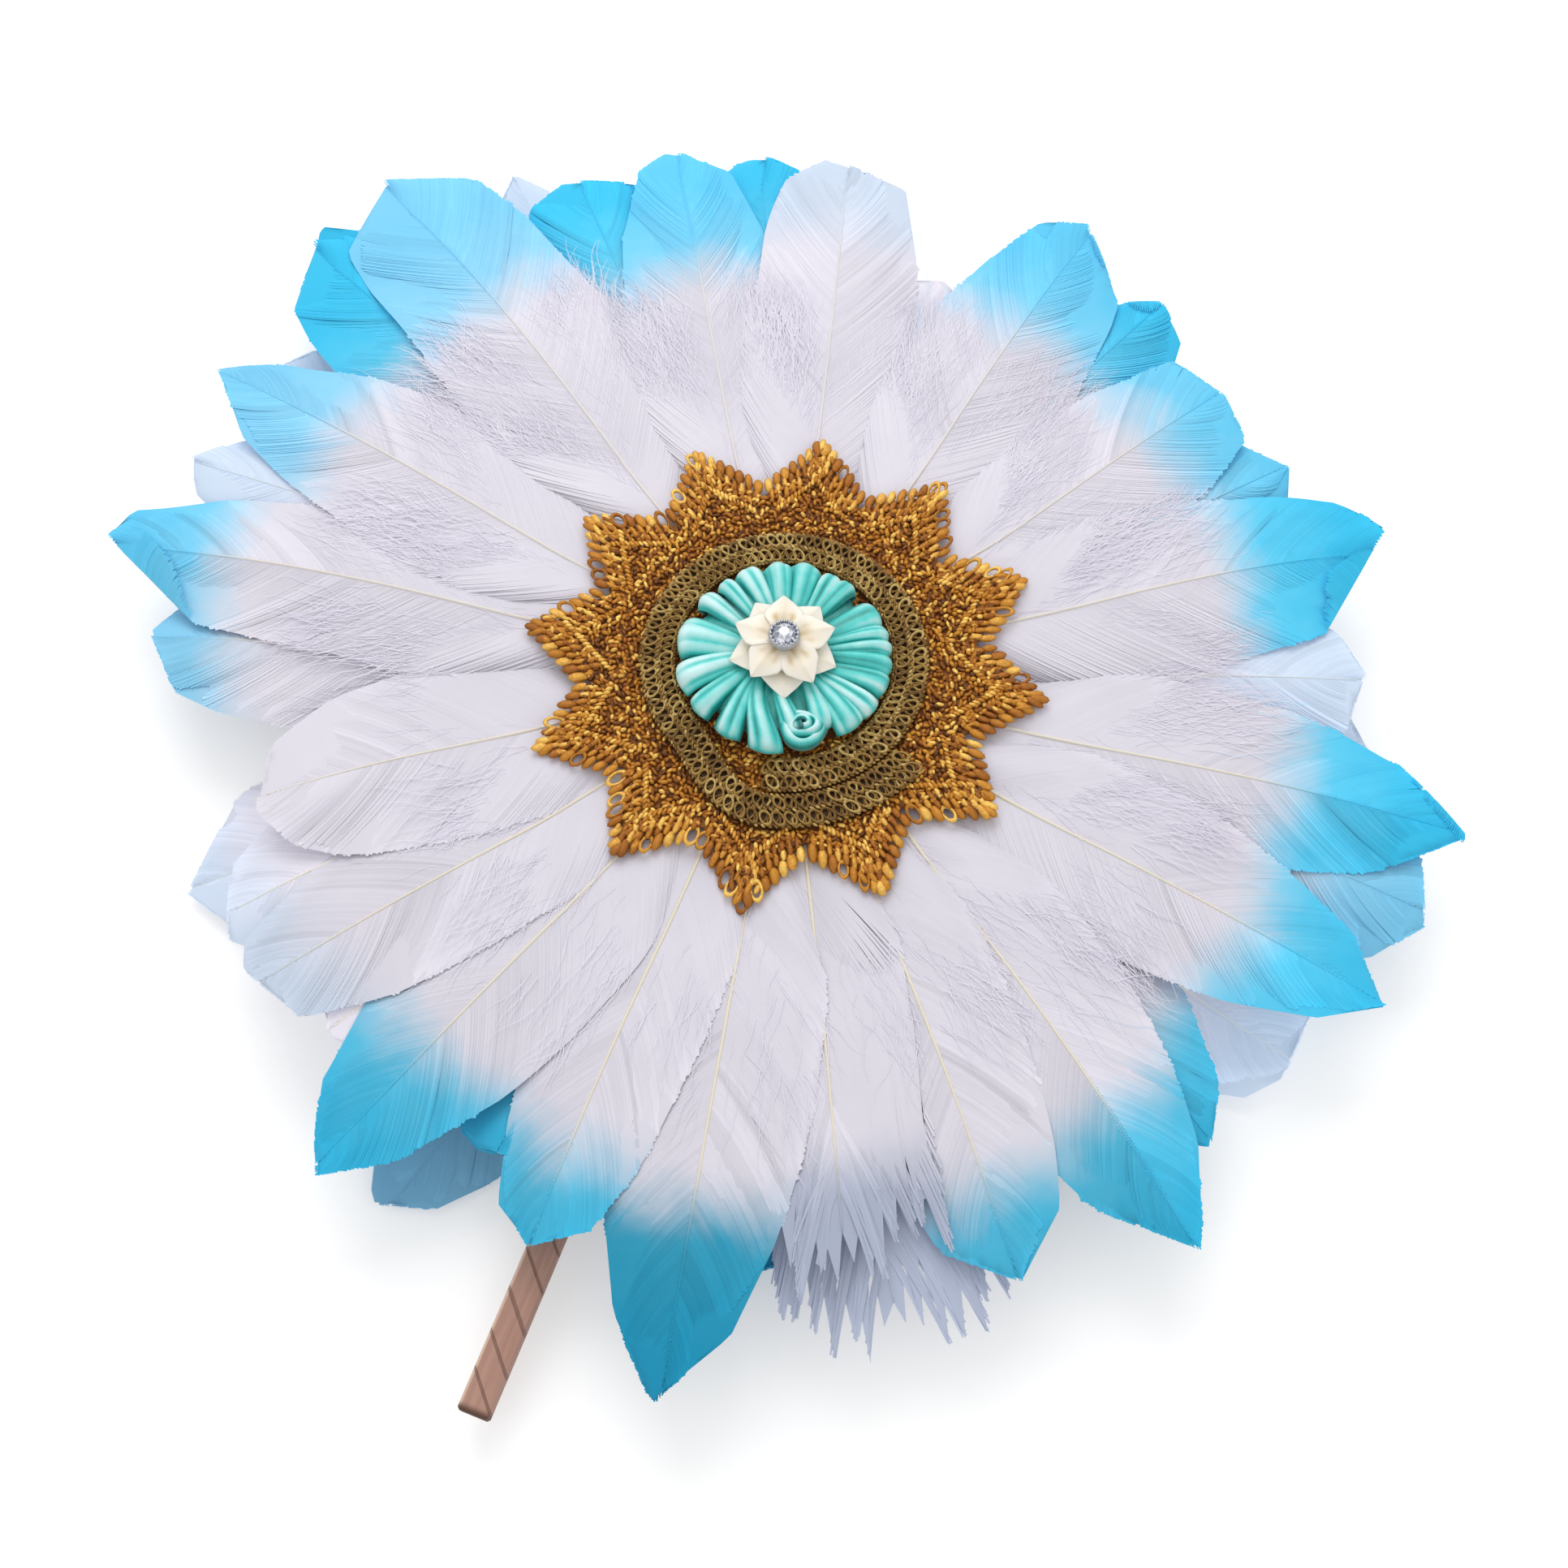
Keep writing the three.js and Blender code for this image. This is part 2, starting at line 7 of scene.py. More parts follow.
import bmesh
import bpy
import numpy as np
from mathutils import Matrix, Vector


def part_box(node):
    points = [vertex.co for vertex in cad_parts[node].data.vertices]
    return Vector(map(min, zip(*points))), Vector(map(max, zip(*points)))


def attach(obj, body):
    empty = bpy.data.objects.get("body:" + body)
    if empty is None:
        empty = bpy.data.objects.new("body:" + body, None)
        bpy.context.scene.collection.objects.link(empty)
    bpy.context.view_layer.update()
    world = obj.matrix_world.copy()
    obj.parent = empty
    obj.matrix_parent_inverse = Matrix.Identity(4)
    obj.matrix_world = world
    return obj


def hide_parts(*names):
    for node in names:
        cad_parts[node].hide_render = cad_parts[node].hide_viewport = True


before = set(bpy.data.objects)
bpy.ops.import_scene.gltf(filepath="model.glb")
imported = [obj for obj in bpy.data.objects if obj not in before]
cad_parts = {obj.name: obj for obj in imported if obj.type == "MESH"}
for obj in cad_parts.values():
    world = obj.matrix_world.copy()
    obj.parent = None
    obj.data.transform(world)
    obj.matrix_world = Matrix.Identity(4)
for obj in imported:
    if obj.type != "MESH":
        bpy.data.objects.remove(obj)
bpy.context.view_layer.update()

MM = 0.001
SEED = 20
UP = np.array((0.0, 0.0, 1.0))


# Colours and curves

def srgb(red, green, blue):
    """A colour as a screen shows it, 0 to 255, as the linear colour that a shader takes."""
    def linear(value):
        share = value / 255
        return share / 12.92 if share <= 0.04045 else ((share + 0.055) / 1.055) ** 2.4

    return (linear(red), linear(green), linear(blue), 1.0)


def grow(value, start, span):
    """0 up to a start, then rising to 1 over a span."""
    return np.clip((value - start) / span, 0, 1)


def hump(value, middle, spread):
    """1 at a middle, falling off smoothly on both sides of it."""
    return np.exp(-(((value - middle) / spread) ** 2))


def full_turn(count):
    """Angles spread evenly round a circle."""
    return np.arange(count) * 2 * math.pi / count


def gridded(*parts):
    """Points from their coordinates, spread over one grid."""
    return np.stack(np.broadcast_arrays(*parts), axis=-1)


def unit(vectors):
    """Vectors in rows, each made one long."""
    return vectors / np.linalg.norm(vectors, axis=1, keepdims=True)


def radii_of(points):
    """How far points lie from the fan's axis."""
    return np.hypot(points[:, 0], points[:, 1])


def circle(radius, turn, height):
    """Points at these angles round the fan's axis, in rows where the radius or the height has rows."""
    return gridded(radius * np.cos(turn), radius * np.sin(turn), height)


# Node trees

def sign(operation, turned=False):
    """An operator of Wire: it adds a Math node, which takes the wire second where it is turned."""
    def work(wire, other):
        return wire.net.maths(operation, *((other, wire) if turned else (wire, other)))

    return work


class Wire:
    """A node's output, so that sums of outputs and numbers can be written as Python expressions."""

    def __init__(self, net, socket):
        self.net = net
        self.socket = socket

    def of(self, name):
        """Another output of the same node."""
        return Wire(self.net, self.socket.node.outputs[name])

    __add__, __radd__ = sign("ADD"), sign("ADD", True)
    __sub__, __rsub__ = sign("SUBTRACT"), sign("SUBTRACT", True)
    __mul__, __rmul__ = sign("MULTIPLY"), sign("MULTIPLY", True)
    __truediv__, __rtruediv__ = sign("DIVIDE"), sign("DIVIDE", True)

    def __neg__(self):
        return self * -1.0


class Net:
    """A node tree, of a material, the world or a Geometry Nodes group."""

    def __init__(self, tree):
        self.tree = tree

    def add(self, kind, settings=None, sockets=None, out=0):
        """One node: its settings first, then the values or links of its sockets. Gives one output."""
        node = self.tree.nodes.new(kind)
        for key, value in (settings or {}).items():
            if key == "stops":
                set_stops(node.color_ramp, value)
            else:
                setattr(node, key, value)
        for key, value in (sockets or {}).items():
            for one in value if isinstance(value, list) else [value]:
                if isinstance(one, Wire):
                    self.tree.links.new(one.socket, node.inputs[key])
                else:
                    node.inputs[key].default_value = one
        return Wire(self, node.outputs[out]) if node.outputs else node

    def maths(self, operation, *values):
        return self.add("ShaderNodeMath", {"operation": operation}, dict(enumerate(values)))

    def parts(self, vector):
        """The three numbers of a vector."""
        cut = self.add("ShaderNodeSeparateXYZ", sockets={0: vector})
        return cut, cut.of("Y"), cut.of("Z")

    def vector(self, x, y, z):
        return self.add("ShaderNodeCombineXYZ", sockets={0: x, 1: y, 2: z})

    def ease(self, value, low, high):
        """0 below low, 1 above high and a smooth step between."""
        return self.add(
            "ShaderNodeMapRange", {"interpolation_type": "SMOOTHSTEP"}, {0: value, 1: low, 2: high}
        )

    def blend(self, share, first, second, how="MIX"):
        """A colour between two colours."""
        settings = {"data_type": "RGBA", "blend_type": how}
        return self.add("ShaderNodeMix", settings, {0: share, 6: first, 7: second}, out=2)

    def shade(self, colour, red, green=None, blue=None):
        """A colour made lighter or darker by one number, or by one for each of its three parts."""
        light = self.add("ShaderNodeCombineColor", sockets={0: red, 1: green or red, 2: blue or red})
        return self.blend(1.0, colour, light, "MULTIPLY")

    def ramp(self, value, *stops):
        """The colour at a value, between stops of a place and a colour."""
        return self.add("ShaderNodeValToRGB", {"stops": stops}, {0: value})

    def own(self):
        """The piece's own coordinates."""
        return self.add("ShaderNodeTexCoord", out="Object")

    def stretch(self, scale):
        """The piece's own coordinates, squeezed or stretched along its axes."""
        return self.add("ShaderNodeVectorMath", {"operation": "MULTIPLY"}, {0: self.own(), 1: scale})

    def noise(self, scale, detail=2.0, vector=None):
        return self.add(
            "ShaderNodeTexNoise",
            sockets={"Vector": vector or self.own(), "Scale": scale, "Detail": detail},
        )

    def bands(self, vector, scale, bent, fine=1.0):
        """Soft bands across X, bent by ripples."""
        sockets = {"Vector": vector, "Scale": scale, "Distortion": bent, "Detail": 2.0}
        sockets["Detail Scale"] = fine
        return self.add("ShaderNodeTexWave", {"bands_direction": "X"}, sockets, out="Fac")

    def carried(self, name):
        """A number that the piece's mesh carries."""
        return self.add("ShaderNodeAttribute", {"attribute_name": name}, out="Fac")

    def bump(self, height, distance):
        """Small relief of that height in metres."""
        return self.add("ShaderNodeBump", sockets={"Height": height, "Distance": distance, "Strength": 1.0})


def set_stops(ramp, stops):
    while len(ramp.elements) < len(stops):
        ramp.elements.new(1.0)
    for element, (place, colour) in zip(ramp.elements, stops):
        element.position = place
        element.color = colour


def finish(name, paint, **constants):
    """A material: paint(net) gives the sockets that vary over the surface, and the rest are constants."""
    material = bpy.data.materials.new(name)
    material.use_nodes = True
    shader = material.node_tree.nodes["Principled BSDF"]
    net = Net(material.node_tree)
    for key, value in constants.items():
        shader.inputs[key.replace("_", " ")].default_value = value
    for key, wire in paint(net).items():
        net.tree.links.new(wire.socket, shader.inputs[key])
    return material


# Finishes

def paint_feather(net):
    """White feather whose tip was dipped in blue dye, the dye creeping along the barbs."""
    x, y, _ = net.parts(net.own())
    radius = net.maths("SQRT", x * x + y * y) / MM
    creep = net.noise(60.0, 3.0) * 14.0 - 7.0
    past = radius - net.carried("dip") + creep
    white = net.blend(net.noise(45.0, 3.0), srgb(220, 216, 227), srgb(231, 228, 238))
    white = net.blend(net.carried("quill"), white, srgb(240, 231, 210))
    fresh = net.blend(net.carried("depth"), srgb(164, 217, 248), srgb(98, 211, 247))
    deep = net.blend(net.carried("depth"), srgb(136, 209, 246), srgb(48, 198, 243))
    streaks = net.noise(160.0, 3.0)
    blue = net.blend(net.ease(past + streaks * 16.0, 8.0, 46.0), fresh, deep)
    blue = net.blend(net.carried("ash"), blue, srgb(164, 175, 198))
    # Painted shade on the blue: darker and less red where the feather lies in shade
    murk = net.carried("murk")
    blue = net.shade(blue, 1.0 - murk * 1.5, 1.0 - murk, 1.0 - murk * 0.94)
    dyed = net.ease(past, -9.0, 14.0) * net.carried("dyed")
    colour = net.blend(dyed, white, blue)
    # Painted highlight on the outer ends of the barbs, as on vane edges that catch the light; the tone each
    # point carries holds painted shade as well as random differences
    edge = net.ease(net.carried("reach"), 0.75, 1.0) * net.carried("rim")
    colour = net.shade(colour, 1.0 + net.carried("tone") + edge)
    # Painted light: an emission of the feather's own colour, standing in for light coming through it
    return {"Base Color": colour, "Emission Color": net.shade(colour, net.carried("glow"))}


def yarn(name, stops, mottle, twist, relief, rough, **constants):
    """Metallic yarn, coloured from a ramp by the tone each piece carries and a mottle: its dark end is
    painted shade in the hollows and its bright end painted glints on some stitches.
    """
    def paint(net):
        scale, share, less = mottle
        strands = net.noise(twist)
        return {
            "Base Color": net.ramp(net.carried("tone") + net.noise(scale) * share - less, *stops),
            "Roughness": rough + strands * 0.3,
            "Normal": net.bump(strands, relief),
        }

    return finish(name, paint, **constants)


def satin(name, dark, plain, light):
    """Satin ribbon: a fine weft across its length, with painted shade in the folds and painted highlights
    on the ridges, by the painted light that each point carries.
    """
    def paint(net):
        weft = net.bands(net.add("ShaderNodeUVMap", {"uv_map": "UVMap"}), 0.9, 1.4)
        cloud = net.noise(260.0, 3.0) * 0.36 - 0.18
        colour = net.ramp(net.carried("crest") + cloud, (0.0, dark), (0.5, plain), (1.0, light))
        return {
            "Base Color": net.shade(colour, 0.94 + weft * 0.1),
            "Roughness": 0.3 + weft * 0.14,
            "Normal": net.bump(weft, 0.00003),
        }

    return finish(name, paint, Sheen_Weight=0.25, Sheen_Roughness=0.35, Specular_IOR_Level=0.6)


def paint_wood(net):
    """A thin wooden stick, its skin scored by slanting lines where tape was wound round it."""
    x, y, _ = net.parts(net.own())
    grain = net.noise(700.0, 4.0, net.stretch((1.0, 0.05, 1.0)))
    wound = net.bands(net.vector(y + x * 1.1, 0.0, 0.0), 31.0, 1.6, 2.0)
    line = net.ease(wound, 0.96, 1.0)
    colour = net.blend(grain, srgb(150, 108, 92), srgb(196, 158, 142))
    # Painted highlight: the stick's left side is lighter, as its lit side
    edge = net.ease(-x / MM, 2.9, 3.5)
    colour = net.blend(edge, colour, srgb(214, 184, 164))
    colour = net.blend(line * 0.6, colour, srgb(104, 70, 58))
    end = net.ease(-y / MM, 200.6, 202.6)
    colour = net.blend(end, colour, srgb(92, 62, 50))
    return {
        "Base Color": colour,
        "Roughness": 0.5 + grain * 0.25,
        "Normal": net.bump(grain * 0.6 - line, 0.0003),
    }


def paint_felt(net):
    """White felt with matted fibres."""
    mat = net.noise(900.0, 5.0)
    hair = net.noise(240.0, 3.0, net.stretch((1.0, 4.0, 1.0)))
    colour = net.blend(mat, srgb(206, 202, 208), srgb(240, 238, 240))
    return {
        "Base Color": net.shade(colour, 0.94 + hair * 0.1),
        "Roughness": 0.85 + mat * 0.1,
        "Normal": net.bump(mat + hair, 0.0004),
    }


def paint_card(net):
    """Grey board with specks of pulp."""
    pulp = net.noise(500.0, 5.0)
    speck = net.ease(net.noise(1500.0, 1.0), 0.68, 0.74)
    colour = net.blend(pulp, srgb(176, 168, 154), srgb(202, 196, 184))
    return {
        "Base Color": net.blend(speck * 0.5, colour, srgb(120, 108, 92)),
        "Roughness": 0.8 + pulp * 0.15,
        "Normal": net.bump(pulp, 0.0001),
    }


def paint_silver(net):
    """The stone's pressed metal cup, a little tarnished in its corners."""
    stain = net.noise(600.0, 3.0)
    return {
        "Base Color": net.blend(stain, srgb(150, 154, 164), srgb(214, 216, 222)),
        "Roughness": 0.2 + stain * 0.25,
    }


def paint_stone(net):
    """Foiled glass: each facet is painted with its own brightness, as painted reflections."""
    colour = net.blend(net.carried("tone"), srgb(120, 126, 142), srgb(250, 250, 255))
    return {"Base Color": colour, "Roughness": 0.04 + net.noise(400.0) * 0.05}


FEATHER = finish(
    "dipped_feather", paint_feather,
    Roughness=0.72, Sheen_Weight=0.12, Sheen_Roughness=0.5, Specular_IOR_Level=0.18, Emission_Strength=1.0,
)
GOLD = yarn(
    "gold_yarn",
    [
        (0.0, srgb(92, 49, 14)), (0.35, srgb(162, 97, 20)),
        (0.7, srgb(202, 138, 40)), (1.0, srgb(252, 210, 108)),
    ],
    mottle=(900.0, 0.3, 0.15), twist=2600.0, relief=0.00025, rough=0.32,
    Metallic=0.45, Specular_IOR_Level=0.6,
)
BRONZE = yarn(
    "bronze_yarn",
    [
        (0.0, srgb(58, 38, 14)), (0.4, srgb(124, 90, 38)),
        (0.75, srgb(164, 130, 66)), (1.0, srgb(210, 184, 118)),
    ],
    mottle=(1100.0, 0.35, 0.17), twist=3000.0, relief=0.0002, rough=0.36,
    Metallic=0.35, Specular_IOR_Level=0.5,
)
TURQUOISE = satin("turquoise_satin", srgb(8, 136, 129), srgb(76, 211, 205), srgb(212, 250, 250))
CREAM = satin("cream_satin", srgb(204, 176, 116), srgb(244, 232, 210), srgb(254, 250, 242))
WOOD = finish("stick_wood", paint_wood, Specular_IOR_Level=0.35)
FELT = finish("white_felt", paint_felt, Sheen_Weight=0.4)
CARD = finish("grey_board", paint_card)
SILVER = finish("tarnished_silver", paint_silver, Metallic=1.0)
STONE = finish("foiled_glass", paint_stone, Metallic=0.85, Coat_Weight=1.0, Coat_Roughness=0.02)


# Pieces

def node_points(node):
    """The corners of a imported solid, in millimetres."""
    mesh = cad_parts[node].data
    points = np.zeros(len(mesh.vertices) * 3)
    mesh.vertices.foreach_get("co", points)
    return points.reshape(-1, 3) / MM


def node_box(node):
    """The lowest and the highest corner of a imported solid's box, in millimetres."""
    return [np.array(corner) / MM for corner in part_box(node)]


def make_mesh(name, points, faces, material=None, **carried):
    """A mesh from points in millimetres, carrying one number for each point under each name."""
    mesh = bpy.data.meshes.new(name)
    mesh.from_pydata((np.asarray(points) * MM).tolist(), [], [list(map(int, face)) for face in faces])
    for key, values in carried.items():
        kept = mesh.attributes.new(key, "FLOAT", "POINT")
        kept.data.foreach_set("value", np.broadcast_to(values, len(points)).astype(np.float32))
    if material:
        mesh.materials.append(material)
    mesh.shade_smooth()
    return mesh


def make_piece(name, data):
    piece = bpy.data.objects.new(name, data)
    bpy.context.scene.collection.objects.link(piece)
    return piece


def join(name, material, meshes):
    """One piece from several meshes of one finish."""
    whole = bmesh.new()
    for mesh in meshes:
        whole.from_mesh(mesh)
    for face in whole.faces:
        face.material_index = 0
    joined = bpy.data.meshes.new(name)
    whole.to_mesh(joined)
    whole.free()
    joined.materials.append(material)
    for mesh in meshes:
        bpy.data.meshes.remove(mesh)
    return make_piece(name, joined)


def settle(piece, slot, *nodes):
    """The piece rides on the fan and stands for its solids, which it hides. The slot is not used."""
    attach(piece, "root")
    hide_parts(*nodes)


def rotated(points, angle):
    """Points turned about the fan's axis, by radians."""
    c, s = math.cos(angle), math.sin(angle)
    turned = np.array(points, float)
    turned[..., 0] = c * points[..., 0] - s * points[..., 1]
    turned[..., 1] = s * points[..., 0] + c * points[..., 1]
    return turned


def grid_faces(rows, columns, around=False, flip=False):
    """Four-sided faces over rows of points, each row joined to itself where it goes around."""
    faces = []
    for row in range(rows - 1):
        low = row * columns
        high = low + columns
        for column in range(columns if around else columns - 1):
            after = (column + 1) % columns
            face = (low + column, low + after, high + after, high + column)
            faces.append(face[::-1] if flip else face)
    return faces


def tube(line, radii, sides):
    """A closed tube along a line of points that nowhere stands upright."""
    line = np.asarray(line, float)
    along = unit(np.gradient(line, axis=0))
    across = unit(np.cross(along, UP))
    upward = np.cross(across, along)
    turn = full_turn(sides)[None, :, None]
    rings = across[:, None] * np.cos(turn) + upward[:, None] * np.sin(turn)
    points = (line[:, None] + rings * np.asarray(radii)[:, None, None]).reshape(-1, 3)
    faces = grid_faces(len(line), sides, around=True, flip=True)
    faces.append(tuple(range(sides)))
    faces.append(tuple(range(len(points) - 1, len(points) - sides - 1, -1)))
    return points, faces


def round_shape(name, rings, material):
    """A closed shape from its rings of points, the first one facing down and the last one up."""
    sides = len(rings[0])
    points = np.concatenate(rings)
    faces = grid_faces(len(rings), sides, around=True)
    faces.append(tuple(range(sides - 1, -1, -1)))
    faces.append(tuple(range(len(points) - sides, len(points))))
    return make_mesh(name, points, faces, material)


def face_up(mesh):
    """Turns a sheet's faces up where most of them point down."""
    if sum(face.normal.z * face.area for face in mesh.polygons) < 0:
        mesh.flip_normals()


def thicken(piece, depth):
    """Cloth of a real thickness, grown down from its face."""
    wall = piece.modifiers.new("Wall", "SOLIDIFY")
    wall.thickness = depth * MM
    wall.offset = -1.0


def cloth(name, grid, material, crest, lie, **turned):
    """Ribbon over a grid of points, face up, carrying the painted light and shade of its satin. Lie is
    where each point is on the flat ribbon.
    """
    faces = grid_faces(*grid.shape[:2], **turned)
    mesh = make_mesh(name, grid.reshape(-1, 3), faces, material, crest=np.ravel(crest))
    face_up(mesh)
    layer = mesh.uv_layers.new(name="UVMap")
    corners = np.zeros(len(mesh.loops), np.int32)
    mesh.loops.foreach_get("vertex_index", corners)
    layer.data.foreach_set("uv", lie.reshape(-1, 2).astype(np.float32)[corners].ravel())
    return mesh


def measure_ribbon(width):
    """Turns a ribbon's width into metres and does nothing more with it."""
    width = width * MM


# Small shapes laid on points

def strip(net, columns):
    """A flat strip, one long along X and one wide: its mesh, and how far along and across it is."""
    sockets = {"Size X": 1.0, "Size Y": 1.0, "Vertices X": columns, "Vertices Y": 2}
    flat = net.add("GeometryNodeMeshGrid", sockets=sockets)
    x, y, _ = net.parts(net.add("GeometryNodeInputPosition"))
    return flat, x + 0.5, y


def moved(net, shape, place):
    return net.add("GeometryNodeSetPosition", sockets={"Geometry": shape, "Position": place})


def barb(side):
    """A barb: a narrow ribbon along X, one long, bowed to one side and drawn to a fine end."""
    def shape(net, given):
        flat, along, across = strip(net, 7)
        narrow = 1.0 - along * along * given["Taper"]
        bow = along * (1.0 - along) * given["Bow"] * side
        sag = along * (1.0 - along) * given["Crown"]
        place = net.vector(along, across * narrow + bow * given["Slender"], sag)
        marked = net.add(
            "GeometryNodeStoreNamedAttribute",
            {"data_type": "FLOAT", "domain": "POINT"},
            {"Geometry": flat, "Name": "reach", "Value": along},
        )
        return moved(net, marked, place)

    return shape


def strand(side):
    """A down strand: a hair-fine wavy ribbon along X."""
    def shape(net, given):
        flat, along, across = strip(net, 9)
        wave = net.maths("SINE", along * 7.0) * along * given["Wave"] * side
        rise = net.maths("SINE", along * 3.1) * given["Loft"]
        aside = across * (1.0 - along * 0.7) + wave * given["Slender"]
        return moved(net, flat, net.vector(along, aside, rise))

    return shape


def ball(net, rings):
    return net.add("GeometryNodeMeshUVSphere", sockets={"Segments": 6, "Rings": rings, "Radius": 0.5})


def grain(net, given):
    """A stitch seen end on: a small rounded grain along X."""
    return ball(net, 4)


def leaf(net, given):
    """A plump stitch with pointed ends along X, one long, one wide and one high."""
    plump = ball(net, 5)
    x, y, z = net.parts(net.add("GeometryNodeInputPosition"))
    return moved(net, plump, net.vector(z, x, y))


def yarn_loop(net, given):
    """A loop of yarn one long along X and one wide, scaled by its point."""
    eye, thread = (
        net.add("GeometryNodeCurvePrimitiveCircle", sockets={"Resolution": sides, "Radius": radius})
        for sides, radius in ((12, 0.5), (5, given["Yarn"]))
    )
    return net.add("GeometryNodeCurveToMesh", sockets={"Curve": eye, "Profile Curve": thread})


def laying_tree(name, shapes, **sizes):
    """A tree that lays a small shape on every point, turned, scaled and chosen by what the point carries.

    A joined socket numbers what comes into it from the last link, so the shapes are linked backwards.
    """
    tree = bpy.data.node_groups.new(name, "GeometryNodeTree")
    ports = tree.interface
    ports.new_socket("Points", in_out="INPUT", socket_type="NodeSocketGeometry")
    ports.new_socket("Finish", in_out="INPUT", socket_type="NodeSocketMaterial")
    for size, value in sizes.items():
        ports.new_socket(size, in_out="INPUT", socket_type="NodeSocketFloat").default_value = value
    ports.new_socket("Laid", in_out="OUTPUT", socket_type="NodeSocketGeometry")
    net = Net(tree)
    entry = net.add("NodeGroupInput", out="Points")
    given = {size: entry.of(size) for size in sizes}
    forms = [shape(net, given) for shape in shapes]
    chosen = net.add("GeometryNodeGeometryToInstance", sockets={0: forms[::-1]})

    def kept(label, kind):
        return net.add("GeometryNodeInputNamedAttribute", {"data_type": kind}, {"Name": label})

    laid = net.add("GeometryNodeInstanceOnPoints", sockets={
        "Points": entry,
        "Instance": chosen,
        "Pick Instance": True,
        "Instance Index": kept("form", "INT"),
        "Rotation": net.add("FunctionNodeEulerToRotation", sockets={0: kept("turn", "FLOAT_VECTOR")}),
        "Scale": kept("size", "FLOAT_VECTOR"),
    })
    real = net.add("GeometryNodeRealizeInstances", sockets={"Geometry": laid})
    smooth = net.add("GeometryNodeSetShadeSmooth", sockets={"Geometry": real})
    done = net.add("GeometryNodeSetMaterial", sockets={"Geometry": smooth, "Material": entry.of("Finish")})
    net.add("NodeGroupOutput", sockets={"Laid": done})
    return tree


def turns(along, upward):
    """Euler angles that carry X to along and Z nearly to upward, one row for each point."""
    along = unit(along)
    across = unit(np.cross(upward, along))
    normal = np.cross(along, across)
    return np.stack([
        np.arctan2(across[:, 2], normal[:, 2]),
        -np.arcsin(np.clip(along[:, 2], -1, 1)),
        np.arctan2(along[:, 1], along[:, 0]),
    ], axis=1)


def lay(name, tree, material, points, along, upward, size, form, **carried):
    """The tree's shapes on these points, as a plain mesh. Sizes are millimetres."""
    mesh = make_mesh(name, points, [], **carried)
    count = len(points)
    for key, values in (("turn", turns(along, upward)), ("size", np.asarray(size) * MM)):
        kept = mesh.attributes.new(key, "FLOAT_VECTOR", "POINT")
        kept.data.foreach_set("vector", np.broadcast_to(values, (count, 3)).astype(np.float32).ravel())
    picked = mesh.attributes.new("form", "INT", "POINT")
    picked.data.foreach_set("value", np.broadcast_to(form, count).astype(np.int32))
    bed = make_piece(name + "_bed", mesh)
    layer = bed.modifiers.new("Laid", "NODES")
    layer.node_group = tree
    sockets = {item.name: item.identifier for item in tree.interface.items_tree}
    layer[sockets["Finish"]] = material
    graph = bpy.context.evaluated_depsgraph_get()
    laid = bpy.data.meshes.new_from_object(
        bed.evaluated_get(graph), preserve_all_data_layers=True, depsgraph=graph
    )
    for key in ("turn", "size", "form"):
        if key in laid.attributes:
            laid.attributes.remove(laid.attributes[key])
    bpy.data.objects.remove(bed)
    bpy.data.meshes.remove(mesh)
    return laid


# Feathers

# A vane, as shares of its length: samples along it, where it starts and ends, and how its foot fills out
VANE_SAMPLES = 160
VANE_FROM = 0.1
VANE_END = 0.985
FOOT_FILL = 5.5
FOOT_AT = 0.2
FOOT_SPREAD = 0.1

# Barbs: their spacing along the edge, their width, and how far their ends lie ahead of their roots.
# The shortest are left out, short ones are narrower, and each ends its clump by that chance.
BARB_PITCH = 0.62
BARB_WIDTH = 1.45
BARB_SWEEP = 30
BARB_ROLL = 0.5
SHORTEST_BARB = 1.2
FULL_WIDTH_FROM = 11
CLUMP_ENDS = 0.09
RAGGED_BARB = 0.55

# The web under the barbs
WEB_ROWS = 44
WEB_COLUMNS = 11
WEB_FROM = 0.16
WEB_SHARE = 0.96
WEB_DROP = 0.03
WEB_CROWN = 1.1
WEB_SHORT = 0.6

# Quills: radii at shares of the length, and how far they stop short of a cut tip
QUILL_SIDES = 6
QUILL_SAMPLES = 60
QUILL_RADII = [0, 0.3, 1], [1.0, 0.52, 0.14]
QUILL_LIFT = 0.02
QUILL_SHORT = 0.5

# Edges sink until they rest on what lies under them: spots tried, the gap that is left, the most that
# an edge sinks, and over how many samples that is evened out
EDGE_SPOTS = 20
EDGE_REST = 0.18
EDGE_SINK = 4.2
EDGE_EVEN = 15

# Down strands: how many, where along the vane they start, and how long they are
DOWN_COUNT = 1250
DOWN_SHARES = (0.14, 0.61)
DOWN_LENGTHS = (8, 20)
DOWN_WIDTH = 0.22
# Down strands also carry a little emission, painted light that lifts their shade
DOWN_PAINTED_GLOW = 0.07

# Each feather's own bends: the height and length of its ripples, its tip's curl, and its edges' roll
RIPPLES = (0.2, 0.5)
WAVES = (26, 44)
CURLS = (-1.6, 2.2)
ROLL_SPREAD = 2.2
MOST_ROLL = 3.2

# A split draws this many barbs apart on each side, with painted shade on the barbs at its middle, and a
# turned-over corner lies this high and is painted darker as shade
SPLIT_BARBS = 14
SPLIT_SHADE = 0.08
FOLD_LIFT = 0.35
FOLD_SHADE = 0.07
FOLD_CREEP = 6

# Ragged feathers: teeth on each half, and the shares where the quill ends and the vane stops narrowing
TEETH = 7
TOOTH_STRAY = (5.0, 0.4, 0.1)
RAGGED_QUILL = 0.87
RAGGED_FROM = 0.7

# Where round the fan its far side and its fluffiest side lie, and how much painted shade darkens its near
# side, all over and again on its blue
FAR_SIDE = 111
FLUFFY_SIDE = 95
LOW_SHADE = 0.07
LOW_BLUE_SHADE = 0.2

